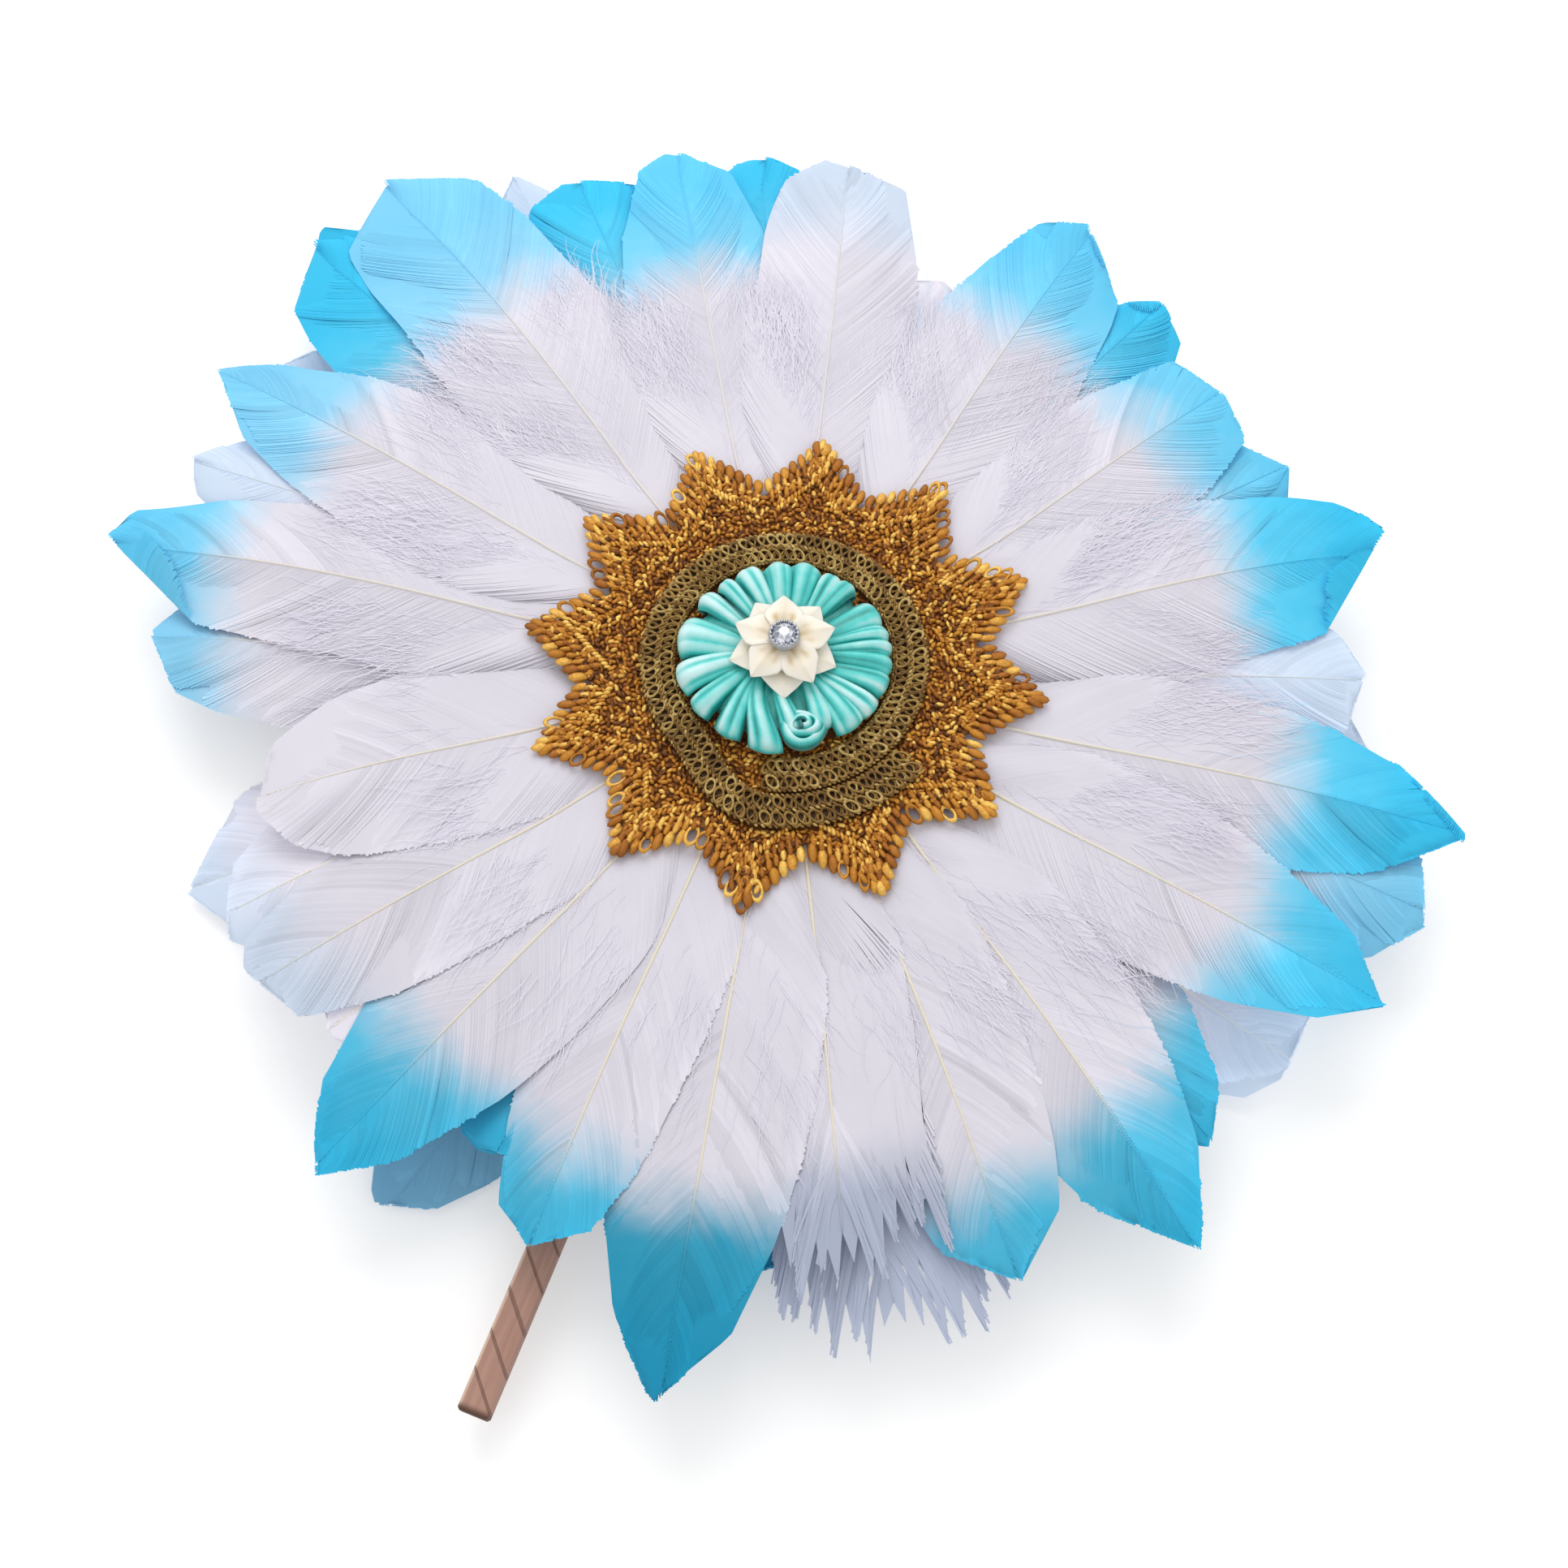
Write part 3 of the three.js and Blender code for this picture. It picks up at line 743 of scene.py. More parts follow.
# A dye's strength, how deep its blue is, how much painted shade darkens its blue, and how grey it is
DYES = {
    "sky": (1.0, 0.95, 0.0, 0.0),
    "mid": (1.0, 0.62, 0.0, 0.0),
    "light": (0.95, 0.35, 0.0, 0.0),
    "pale": (0.36, 0.0, 0.0, 0.15),
    "deep": (1.0, 1.0, 0.26, 0.0),
    "teal": (0.95, 0.8, 0.04, 0.45),
    "grey": (0.85, 0.0, 0.0, 1.0),
    "white": (0.0, 0.0, 0.0, 0.0),
}

# Each feather's dye, and how many millimetres of its tip were dipped
UPPER_DYES = [
    ("sky", 52), ("sky", 48), ("mid", 30), ("mid", 46), ("pale", 30), ("mid", 50), ("light", 62),
    ("light", 46), ("mid", 40), ("white", 0), ("pale", 24), ("sky", 44), ("sky", 28), ("deep", 48),
    ("grey", 36), ("sky", 26), ("sky", 42), ("sky", 42),
]
LOWER_DYES = [
    ("pale", 40), ("mid", 34), ("sky", 44), ("white", 0), ("sky", 46), ("sky", 46), ("sky", 62),
    ("pale", 40), ("light", 26), ("pale", 18), ("white", 0), ("sky", 34), ("white", 0), ("grey", 64),
    ("sky", 34), ("light", 38),
]
BACK_DYES = [
    ("pale", 30), ("light", 30), ("sky", 32), ("light", 24), ("sky", 36), ("pale", 60), ("pale", 44),
    ("light", 30), ("pale", 20), ("teal", 44), ("sky", 34), ("deep", 40), ("pale", 30),
]
# Each ring's dyes, and how much lighter it is than the upper one, or darker where that is negative
RINGS = {"upper": (UPPER_DYES, 0.0), "lower": (LOWER_DYES, -0.04), "back": (BACK_DYES, -0.06)}

# Ragged feathers, and by how many millimetres their split tips fall short
RAGGED = {"upper_feather_15": 0, "lower_feather_14": 1, "back_feather_12": 14}

# Feathers with a corner of the tip turned over: its side, and where the fold meets that edge and the other
FOLDED = {
    "upper_feather_01": (1, 0.84, 0.99),
    "upper_feather_02": (-1, 0.8, 0.985),
    "upper_feather_04": (-1, 0.86, 0.99),
    "upper_feather_09": (1, 0.78, 0.99),
    "lower_feather_03": (1, 0.84, 0.985),
    "upper_feather_12": (-1, 0.9, 0.99),
}
POINTED = {
    "upper_feather_01", "upper_feather_08", "upper_feather_12", "upper_feather_14", "upper_feather_17",
    "upper_feather_18", "lower_feather_15", "back_feather_06", "back_feather_09",
}
# Painted light: an emission on undyed and pale feathers that stands in for light coming through them, and
# more of it on those that lie in shade
PAINTED_GLOWS = {"pale": 0.14, "white": 0.16, "grey": 0.13, "teal": 0.08}
GLOW_IN_SHADE = {"back_feather_13": 0.17}
# Painted light and shade: one half of these feathers' vanes lighter and the other darker, as if each were
# folded along its shaft; the sign says which half is darker
HALF_SHADES = {
    "upper_feather_17": 0.13, "upper_feather_13": 0.06, "upper_feather_08": 0.04, "upper_feather_18": -0.05,
}

FEATHER_TREE = laying_tree(
    "barbs_and_down",
    [barb(1), barb(-1), strand(1), strand(-1)],
    Taper=0.42, Bow=0.16, Slender=14.0, Crown=0.05, Wave=0.3, Loft=0.012,
)


def read_feather(points):
    """A feather's direction, and its spine and edges sampled evenly from quill to tip."""
    radius = radii_of(points)
    root = points[radius < radius.min() + 1.0].mean(axis=0)
    at = math.atan2(root[1], root[0])
    points = rotated(points, -at)
    out = np.sort(points[:, 0])
    marks = out[np.concatenate([[True], np.diff(out) > 0.5])]
    rows = []
    for mark in marks:
        ring = points[np.abs(points[:, 0] - mark) < 0.3]
        left = ring[ring[:, 1] > ring[:, 1].max() - 0.05].mean(axis=0)
        right = ring[ring[:, 1] < ring[:, 1].min() + 0.05].mean(axis=0)
        middle = (left[1] + right[1]) / 2
        heart = ring[np.abs(ring[:, 1] - middle) < 1.3]
        height = (heart[:, 2].max() + heart[:, 2].min()) / 2
        rows.append((mark, middle, height, (left[1] - right[1]) / 2, left[2], right[2]))
    rows = np.array(rows)
    rows[-1, 3] = 0.0
    share = np.linspace(0, 1, VANE_SAMPLES)
    place = (rows[:, 0] - rows[0, 0]) / (rows[-1, 0] - rows[0, 0])
    names = ("out", "middle", "height", "half", "left", "right")
    return at, {name: smooth_through(share, place, known) for name, known in zip(names, rows.T)}


def smooth_through(x, known_x, known_y):
    """A smooth curve through known points, which doesn't overshoot them much."""
    slope = np.gradient(known_y, known_x)
    index = np.clip(np.searchsorted(known_x, x, side="right") - 1, 0, len(known_x) - 2)
    width = known_x[index + 1] - known_x[index]
    t = (x - known_x[index]) / width
    return (
        (2 * t**3 - 3 * t**2 + 1) * known_y[index]
        + (t**3 - 2 * t**2 + t) * width * slope[index]
        + (3 * t**2 - 2 * t**3) * known_y[index + 1]
        + (t**3 - t**2) * width * slope[index + 1]
    )


class Plume:
    """One feather: where its spine and the two halves of its vane run, with its own bends and ripples.

    Low is 1 at the fan's shaded lower side and 0 at its far side. Fluff is how much down the feather has.
    """

    def __init__(self, node, number):
        points = node_points(node)
        self.node = node
        self.upper = node.startswith("upper")
        root = points[radii_of(points).argmin()]
        at = math.degrees(math.atan2(root[1], root[0]))
        self.low = 0.5 - 0.5 * math.cos(math.radians(at - FAR_SIDE))
        fluff = (0.5 + 0.5 * math.cos(math.radians(at - FLUFFY_SIDE))) * 1.2 + 0.25
        self.fluff = fluff if self.upper else 0.35 * fluff
        self.at, self.run = read_feather(points)
        self.rng = np.random.default_rng(SEED * 1000 + number)
        self.share = np.linspace(0, 1, VANE_SAMPLES)
        self.ragged = node in RAGGED
        self.teeth = {side: self.tear(RAGGED[node]) for side in (1, -1)} if self.ragged else {}
        self.length = self.run["out"][-1] - self.run["out"][0]
        self.wide = self.run["half"].max()
        self.ripple = self.rng.uniform(*RIPPLES)
        self.sink = {1: np.zeros(VANE_SAMPLES), -1: np.zeros(VANE_SAMPLES)}
        self.wave = self.rng.uniform(*WAVES)
        self.phase = self.rng.uniform(0, 2 * math.pi, 2)
        self.curl = self.rng.uniform(*CURLS)
        self.roll = float(np.clip(self.rng.normal(0, ROLL_SPREAD), -MOST_ROLL, MOST_ROLL))
        self.uneven = self.rng.uniform(-0.3, 0.3)
        self.crease_shade = HALF_SHADES.get(node, 0)
        self.cuts = [] if self.ragged else self.trim(node in POINTED)
        self.fold = None
        if node in FOLDED:
            side, near, far = FOLDED[node]
            self.fold = self.line(self.edge(near, side), self.edge(far, -side))
        self.lines = self.cuts + ([self.fold] if self.fold else [])

    def value(self, name, share):
        return np.interp(share, self.share, self.run[name])

    def half(self, share):
        """Half the vane's width, its foot filled out by down. A ragged vane widens to its tip."""
        foot = FOOT_FILL * hump(share, FOOT_AT, FOOT_SPREAD)
        if self.ragged:
            wider = 1 + 0.3 * grow(share, RAGGED_FROM, 0.3)
            return self.value("half", np.minimum(share, RAGGED_FROM)) * wider + foot
        return np.maximum(self.value("half", share), 0) + foot

    def swept(self, share):
        """The share at which the barb that ends at a share leaves the spine."""
        full = np.sqrt(np.clip(self.half(share) / self.wide, 0, 1))
        return np.clip(share - BARB_SWEEP / self.length * full, 0.06, 1)

    def spot(self, share, side, across):
        """A point on the vane: share along the spine, and across from the spine (0) to an edge (1)."""
        left = np.asarray(side) > 0
        out = self.value("out", share)
        middle = self.value("middle", share) + side * across * self.half(share)
        edge = np.where(left, self.value("left", share), self.value("right", share))
        sink = np.where(left, *(np.interp(share, self.share, self.sink[half]) for half in (1, -1)))
        height = self.value("height", share) * (1 - across) + edge * across - sink * across
        loose = grow(share, 0.25, 0.4)
        wave = np.sin(out * 2 * math.pi / self.wave + np.where(left, *self.phase))
        height = height + self.ripple * loose * across**2 * wave
        height = height + (self.curl + self.roll * side * across) * grow(share, 0.66, 0.34) ** 2
        return gridded(out, middle, height)

    def edge(self, share, side):
        """A point of the vane's outline, seen flat."""
        return self.spot(np.array(share), side, np.array(1.0))[:2]

    def line(self, first, second):
        """A straight line across the vane: a point on it, and the way out over it towards the tip."""
        along = (second - first) / np.linalg.norm(second - first)
        out = np.array((along[1], -along[0]))
        heart = self.edge(0.6, 0)
        return first, -out if (heart - first) @ out > 0 else out

    def trim(self, pointed):
        """Straight edges that take the round off the tip, as on a feather that was cut and handled."""
        rng = self.rng
        blunt = 0.25 if pointed else 1.0
        back, aside = -rng.uniform(0, 3.0) * blunt, rng.uniform(-0.3, 0.3) * self.wide * blunt
        tip = self.edge(0.995, 0) + (back, aside)
        cuts = []
        for side in (1, -1):
            low = self.edge(rng.uniform(0.74, 0.84) - 0.06 * pointed, side)
            high = self.edge(rng.uniform(0.9, 0.965) - 0.05 * pointed, side)
            cuts += [self.line(low, high), self.line(high, tip)]
        return cuts

    def tear(self, short):
        """The teeth of one half of a ragged vane: how far across each points, and the share it reaches."""
        across = (np.arange(TEETH) + self.rng.uniform(0.3, 0.8, TEETH)) / TEETH
        reach = self.run["out"][-1] - short - self.rng.uniform(0, 13, TEETH) - 12 * across**2
        return across, np.interp(reach, self.run["out"], self.share)

    def columns(self):
        """Where the web's columns run across the vane, and the share at which each ends."""
        if not self.ragged:
            return np.linspace(-1, 1, WEB_COLUMNS), np.full(WEB_COLUMNS, VANE_END)
        columns, ends = [0.0], [RAGGED_QUILL]
        for side, (across, reach) in self.teeth.items():
            notch = np.minimum(reach, np.append(reach[1:], reach[-1])) - self.rng.uniform(0.04, 0.13, TEETH)
            columns += [*(side * across), *(side * (np.arange(TEETH) + 1.0) / TEETH)]
            ends += [*reach, *notch]
        order = np.argsort(columns)
        return np.array(columns)[order], np.array(ends)[order]

    def barb_shares(self, side):
        """The shares at which the barbs of one half leave the spine and end, evenly along its edge."""
        share = self.share[self.share > VANE_FROM]
        edge = self.spot(share, side, np.ones_like(share))
        away = np.abs(edge[:, 1] - self.value("middle", share))
        walked = np.concatenate([[0], np.cumsum(np.hypot(np.diff(edge[:, 0]), np.diff(away)))])
        ends = np.interp(np.linspace(0, walked[-1], int(walked[-1] / BARB_PITCH)), walked, share)
        return self.swept(ends), ends

    def above(self, spots):
        """The vane's height under places seen flat."""
        share = np.interp(spots[:, 0], self.run["out"], self.share)
        off = spots[:, 1] - self.value("middle", share)
        across = np.clip(np.abs(off) / np.maximum(self.half(share), 0.5), 0, 1)
        return self.spot(share, np.where(off > 0, 1, -1), across)[:, 2] + WEB_CROWN * across * (1 - across)

    def covers(self, spots):
        """Which places, seen flat, lie over the vane."""
        share = np.interp(spots[:, 0], self.run["out"], self.share)
        off = np.abs(spots[:, 1] - self.value("middle", share))
        return (off < self.half(share)) & (spots[:, 0] < self.run["out"][-1])


def lie_close(rings):
    """Lets the edges of each feather sink until they rest on what lies under them."""
    for side in (-1, 1):
        for ring, beneath in zip(rings, rings[1:] + [[]]):
            for plume in ring:
                sink_edge(plume, side, [other for other in ring + beneath if other is not plume])


def sink_edge(plume, side, others):
    share = np.linspace(0.2, 0.96, EDGE_SPOTS)
    edge = plume.spot(share, side, np.ones(EDGE_SPOTS))
    gap = np.full(EDGE_SPOTS, np.inf)
    for other in others:
        spots = rotated(edge, plume.at - other.at)
        rise = spots[:, 2] - other.above(spots)
        rise[~other.covers(spots) | (rise < 0)] = np.inf
        gap = np.minimum(gap, rise)
    known = np.isfinite(gap)
    if known.any():
        sink = np.interp(plume.share, share[known], np.clip(gap[known] - EDGE_REST, 0, EDGE_SINK))
        even = np.ones(EDGE_EVEN) / EDGE_EVEN
        sink = np.convolve(np.pad(sink, EDGE_EVEN // 2, mode="edge"), even, mode="valid")
        plume.sink[side] = sink * (grow(plume.share, 0.08, 0.15) * grow(1 - plume.share, 0, 0.16))


def beyond(points, line):
    """How far points lie past a line."""
    return (points[:, :2] - line[0]) @ line[1]


def cut_back(start, end, line):
    """The share of each barb that lies short of a line."""
    first, last = beyond(start, line), beyond(end, line)
    meet = np.clip(first / np.where(last > 0, first - last, -1.0), 0, 1)
    return np.where(first >= 0, 0.0, np.where(last > 0, meet, 1.0))


def lay_barbs(plume, side):
    """Where the barbs of one half of the vane start and end, and how each is toned and dyed."""
    rng = plume.rng
    start_share, end_share = plume.barb_shares(side)
    count = len(end_share)
    start = plume.spot(start_share, side, np.zeros(count))
    end = plume.spot(end_share, side, np.ones(count))

    # Barbs cling together in clumps, which stray, lift and fall short as one
    clump = np.cumsum(rng.random(count) < CLUMP_ENDS)

    def clumped(spread):
        return rng.normal(0, spread, clump.max() + 1)[clump]

    def single(spread):
        return rng.normal(0, spread, count)

    along = clumped(0.5)
    lift = clumped(0.015)
    tone = clumped(0.01) + single(0.005)
    # Painted light and shade: one half of the tip lighter, the other darker
    tone = tone + plume.crease_shade * side * grow(end_share, 0.72, 0.2)
    short = 1 - np.abs(clumped(0.02)) - np.abs(single(0.006))
    creep = clumped(0.8) + single(0.5)
    streak = clumped(0.035) + single(0.025)
    tone = tone + streak * grow(end_share, 0.62, 0.2)

    # One half may be worn shorter at the tip, with notches and splits in its edge
    short = short - max(0.0, plume.uneven * side) * grow(end_share, 0.74, 0.26) ** 1.5
    for notch in rng.uniform(0.72, 0.96, rng.integers(0, 3)):
        short = short - rng.uniform(0.08, 0.3) * hump(end_share, notch, 0.02)
    for split in rng.integers(int(count * 0.55), int(count * 0.93), rng.integers(0, 3)):
        away = np.arange(count) - split
        gap = rng.uniform(0.5, 1.7)
        along = along + np.sign(away + 0.5) * gap * np.clip(1 - np.abs(away) / SPLIT_BARBS, 0, 1)
        tone = tone - SPLIT_SHADE * (np.abs(away) <= 1)

    # The barbs of the foot are loose
    loose = (1 - grow(end_share, 0.12, 0.22 + 0.3 * plume.fluff)) * min(1, 0.5 + plume.fluff)
    along = along + loose * single(0.7)
    short = short + loose * rng.uniform(-0.03, 0.22, count)
    lift = lift + loose * rng.normal(0.01, 0.015, count)
    end = start + (end - start) * short[:, None]
    end[:, 0] += along
    end[:, 2] += lift

    if plume.ragged:
        start, end, streak = tear_barbs(plume, side, start_share, end_share, end)
        tone = tone + streak
    for cut in plume.cuts:
        kept = cut_back(start, end, cut) * (1 - np.abs(single(0.008)))
        end = start + (end - start) * kept[:, None]
    return start, end, tone, creep


def tear_barbs(plume, side, start_share, end_share, end):
    """The barbs of a ragged half, drawn together into its teeth: their starts, ends and tones."""
    count = len(end)
    across, reach = plume.teeth[side]
    start = plume.spot(np.minimum(start_share, RAGGED_QUILL), side, np.zeros(count))
    tooth = np.clip(((0.92 - start_share) / 0.56 * TEETH).astype(int), 0, TEETH - 1)
    point = plume.spot(reach, side, across * WEB_SHARE)[tooth]
    stray = plume.rng.normal(0, 1, (count, 3))
    stray[:, 0] = -np.abs(stray[:, 0])
    point = point + stray * TOOTH_STRAY
    end = end + (point - end) * grow(end_share, 0.42, 0.16)[:, None]
    return start, end, plume.rng.normal(0, 0.035, TEETH)[tooth]


def turn_over(plume, start, end):
    """Barbs that cross the fold stop at it, and what lay past it comes back over the vane."""
    kept = cut_back(start, end, plume.fold)[:, None]
    bend = start + (end - start) * kept
    past = (beyond(end, plume.fold) > 0.4) & (np.linalg.norm(end - start, axis=1) > SHORTEST_BARB)
    over = []
    for place in (np.where(kept > 0, bend, start), end):
        back = place[past].copy()
        away = np.maximum(beyond(back, plume.fold), 0)
        back[:, :2] -= 2 * away[:, None] * plume.fold[1]
        back[:, 2] = plume.above(back) + FOLD_LIFT + 0.1 * away
        over.append(back)
    return bend, over[0], over[1], past


def lay_down(plume):
    """Where the down strands over a feather's foot and vane start and end."""
    rng = plume.rng
    count = int(DOWN_COUNT * plume.fluff**1.3)
    share = rng.uniform(*DOWN_SHARES, count)
    side = np.where(rng.random(count) < 0.5, 1, -1)
    start = plume.spot(share, side, rng.random(count) ** 0.5)
    reach = rng.uniform(*DOWN_LENGTHS, count)
    lean = side * rng.normal(0.3, 0.3, count)
    end = start + circle(reach, lean, 0.0)
    start[:, 2] = plume.above(start) + rng.uniform(0.03, 0.15, count)
    end[:, 2] = plume.above(end) + rng.uniform(0.03, 0.22, count)
    return start, end, side


def quill(plume, tone, dip, facts):
    """The shaft, up to where the tip is cut or folded."""
    share = np.linspace(0.0, RAGGED_QUILL if plume.ragged else VANE_END, QUILL_SAMPLES)
    spine = plume.spot(share, 1, np.zeros_like(share))
    spine[:, 2] += QUILL_LIFT
    whole = np.ones(QUILL_SAMPLES, bool)
    for line in plume.lines:
        whole &= beyond(spine, line) < -QUILL_SHORT
    radii = np.interp(share, *QUILL_RADII)
    points, faces = tube(rotated(spine[whole], plume.at), radii[whole], QUILL_SIDES)
    bare = 0.35 + 0.65 * plume.low
    return make_mesh("quill", points, faces, FEATHER, tone=tone, dip=dip, quill=bare, **facts)


def web(plume, tone, dip, facts):
    """The thin ground under the barbs, ruled the way they run and rounded off at the tip."""
    columns, ends = plume.columns()
    rows = WEB_FROM + np.linspace(0, 1, WEB_ROWS)[:, None] * (ends - WEB_FROM)
    aside = np.abs(columns) * WEB_SHARE
    half = np.where(columns >= 0, 1, -1)
    grid = plume.spot(rows, half, aside + 0 * rows)
    if not plume.ragged:
        foot = plume.spot(plume.swept(rows), half, 0 * rows)
        ruled = foot + (plume.spot(rows, half, 1 + 0 * rows) - foot) * aside[:, None]
        grid = ruled + (grid - ruled) * grow(rows, 0.76, 0.14)[:, :, None]
    grid[:, :, 2] += WEB_CROWN * aside * (1 - aside) - WEB_DROP
    points = grid.reshape(-1, 3)
    for line in plume.lines:
        points[:, :2] -= np.maximum(beyond(points, line) + WEB_SHORT, 0)[:, None] * line[1]
    # Painted light and shade on the two halves of the tip, as on the barbs
    shaded_half = grow(rows, 0.72, 0.2) * np.sign(columns)
    # Painted shade: the web under the barbs is a little darker
    tone = tone - 0.01 + plume.crease_shade * shaded_half.reshape(-1)
    faces = grid_faces(*rows.shape, flip=True)
    points = rotated(points, plume.at)
    return make_mesh("web", points, faces, FEATHER, tone=tone, dip=dip, quill=0.0, **facts)


def barbs(plume, tone, dip, facts):
    """Every barb and down strand of a feather."""
    rng = plume.rng
    batches = []
    for side, form in ((1, 0), (-1, 1)):
        start, end, shade, creep = lay_barbs(plume, side)
        forms = np.full(len(start), form)
        width = BARB_WIDTH * (RAGGED_BARB if plume.ragged else 1.0) * rng.uniform(0.85, 1.2, len(start))
        roll = -side * np.radians(rng.normal(BARB_ROLL, 0.7, len(start)))
        if plume.fold:
            end, bend, back, past = turn_over(plume, start, end)
            kept = (shade - FOLD_SHADE, creep - FOLD_CREEP, forms, width, roll)
            batches.append((bend, back, *(values[past] for values in kept)))
        batches.append((start, end, shade, creep, forms, width, roll))
    start, end, side = lay_down(plume)
    count = len(start)
    # Painted light: the down strands are a little lighter than the vane under them
    shade = rng.normal(0.025, 0.015, count)
    creep = rng.normal(10, 8, count)
    roll = rng.normal(0, 0.15, count)
    batches.append((start, end, shade, creep, np.where(side > 0, 2, 3), np.full(count, DOWN_WIDTH), roll))

    start, end, shade, creep, forms, width, roll = (np.concatenate(values) for values in zip(*batches))
    along = end - start
    length = np.linalg.norm(along, axis=1)
    width = width * np.clip(length / FULL_WIDTH_FROM, 0.3, 1)
    level = np.cross(along, UP)
    level /= np.linalg.norm(level, axis=1, keepdims=True) + 1e-9
    upward = UP * np.cos(roll)[:, None] + level * np.sin(roll)[:, None]
    fit = length > SHORTEST_BARB
    glow = facts["glow"] + DOWN_PAINTED_GLOW * (forms[fit] > 1)
    return lay(
        "barbs", FEATHER_TREE, FEATHER,
        *(rotated(values, plume.at)[fit] for values in (start, along, upward)),
        np.stack([length, width, length], axis=1)[fit], forms[fit],
        tone=(shade + tone)[fit], dip=(creep + dip)[fit], quill=0.0, **{**facts, "glow": glow},
    )


def feather(plume, dye, dipped, tone, glow):
    """One whole feather over its solid: quill, web, barbs and down.

    Tone is how much lighter or darker it is, painted shade included, and glow is an emission, painted light
    that stands in for light coming through from behind.
    """
    strength, depth, murk, ash = DYES[dye]
    facts = {
        "dyed": strength,
        "depth": depth,
        # Painted shade on the blue of feathers on the fan's near side
        "murk": murk + LOW_BLUE_SHADE * (1 - ash) * float(grow(plume.low, 0.78, 0.15)),
        "ash": ash,
        # How strong the painted highlight on the barbs' ends is, stronger on the fan's near side
        "rim": 0.03 + 0.05 * plume.low,
        "glow": glow,
    }
    dip = plume.run["out"][-1] - dipped
    meshes = [make(plume, tone, dip, facts) for make in (quill, web, barbs)]
    name = plume.node.replace("feather", "plume")
    settle(join(name, FEATHER, meshes[::-1]), "feather", plume.node)


def feathers():
    """All three rings. The far half of the fan is the fluffier one, and the near half is more in shade."""
    grown, number = [], 0
    for ring, (dyes, _) in RINGS.items():
        grown.append([])
        for index in range(1, len(dyes) + 1):
            number += 1
            grown[-1].append(Plume(f"{ring}_feather_{index:02d}", number))
    lie_close(grown)
    for (dyes, lighter), plumes in zip(RINGS.values(), grown):
        for plume, (dye, dipped) in zip(plumes, dyes):
            # Painted shade: feathers towards the fan's near side are darker
            tone, glow = lighter - LOW_SHADE * plume.low, 0.0
            if dye in PAINTED_GLOWS and not plume.upper:
                tone, glow = 0.4 * tone, PAINTED_GLOWS[dye] + GLOW_IN_SHADE.get(plume.node, 0)
            feather(plume, dye, dipped, tone, glow)


# Lace star

STAR_POINTS = 12
STAR_TURN = 12
STAR_VALLEY_SHARE = 0.785
STAR_STEP = math.pi / STAR_POINTS
ARMS = [math.radians(STAR_TURN) + arm * 2 * STAR_STEP for arm in range(STAR_POINTS)]

# The net that carries the stitches
LACE_SHEET = 0.9
NET_ROWS = 26
NET_COLUMNS = 25 * STAR_POINTS * 2
NET_INSET = 2.2

# Stitches: where they lie, and the spans of their length, width and height
PICOTS_ON_EDGE = 7
PICOT_SIZE = (4.4, 5.6), (2.295, 3.105), (1.7, 2.3)
OPEN_PICOTS = 0.22
OPEN_HEIGHT = 4.6
LEAF_ROWS = (2.6, 4.9)
LEAF_SIZE = (3.6, 4.8), (1.5, 2.0), (1.3, 1.8)
CORD_IN = 7.2
CORD_PITCH = 1.25
CORD_SIZE = (2.3, 2.8), (1.0, 1.3), (1.2, 1.5)
GRAIN_PITCH = 1.45
GRAIN_SIZE = (1.6, 2.9), (1.0, 1.5), (1.0, 1.5)
FIELD_FROM = 25

lace_points = node_points("lace_star")
lace_radii = radii_of(lace_points)
STAR_TIP = lace_radii.max() - 0.2
STAR_VALLEY = STAR_TIP * STAR_VALLEY_SHARE
LACE_TOP = lace_points[:, 2].max()
LACE_HOLE = lace_radii.min()

LACE_TREE = laying_tree("lace_stitches", [grain, yarn_loop, leaf], Yarn=0.14)


def toward(angle):
    return np.array((math.cos(angle), math.sin(angle)))


def star_reach(angle):
    """How far the star's sheet reaches in a direction."""
    away = np.abs((angle - math.radians(STAR_TURN) + STAR_STEP) % (2 * STAR_STEP) - STAR_STEP)
    return STAR_TIP * STAR_VALLEY * math.sin(STAR_STEP) / (
        STAR_TIP * np.sin(away) + STAR_VALLEY * np.sin(STAR_STEP - away)
    )


def lace_height(x, y):
    """The lace's uneven top."""
    swell = np.sin(x * 0.31 + 1.0) * np.cos(y * 0.27) + 0.6 * np.sin(x * 0.73 - y * 0.58)
    return LACE_TOP - 1.0 + 0.22 * swell


def arm_edges():
    """Each straight edge of the star: its valley end, length, ways along and out, and stitches' lean."""
    for axis in ARMS:
        tip = STAR_TIP * toward(axis)
        for side in (1, -1):
            valley = STAR_VALLEY * toward(axis + side * STAR_STEP)
            edge = np.linalg.norm(tip - valley)
            along = (tip - valley) / edge
            out = np.array((-along[1], along[0])) * side
            lean = out * 0.82 + along * 0.57
            yield valley, edge, along, out, lean / np.linalg.norm(lean)


def stitch_sizes(rng, count, *spans):
    return np.column_stack([rng.uniform(*span, count) for span in spans])


def lie_flat(rng, spots, ways, lift, jitter=0.16):
    """Stitches lying on the lace: their places, headings and uprights in space."""
    spots = np.array(spots)
    count = len(spots)
    places = np.column_stack([spots, lace_height(spots[:, 0], spots[:, 1]) + lift])
    along = np.column_stack([np.array(ways), rng.normal(0, jitter, count)])
    return places, along, UP + rng.normal(0, 0.12, (count, 3))


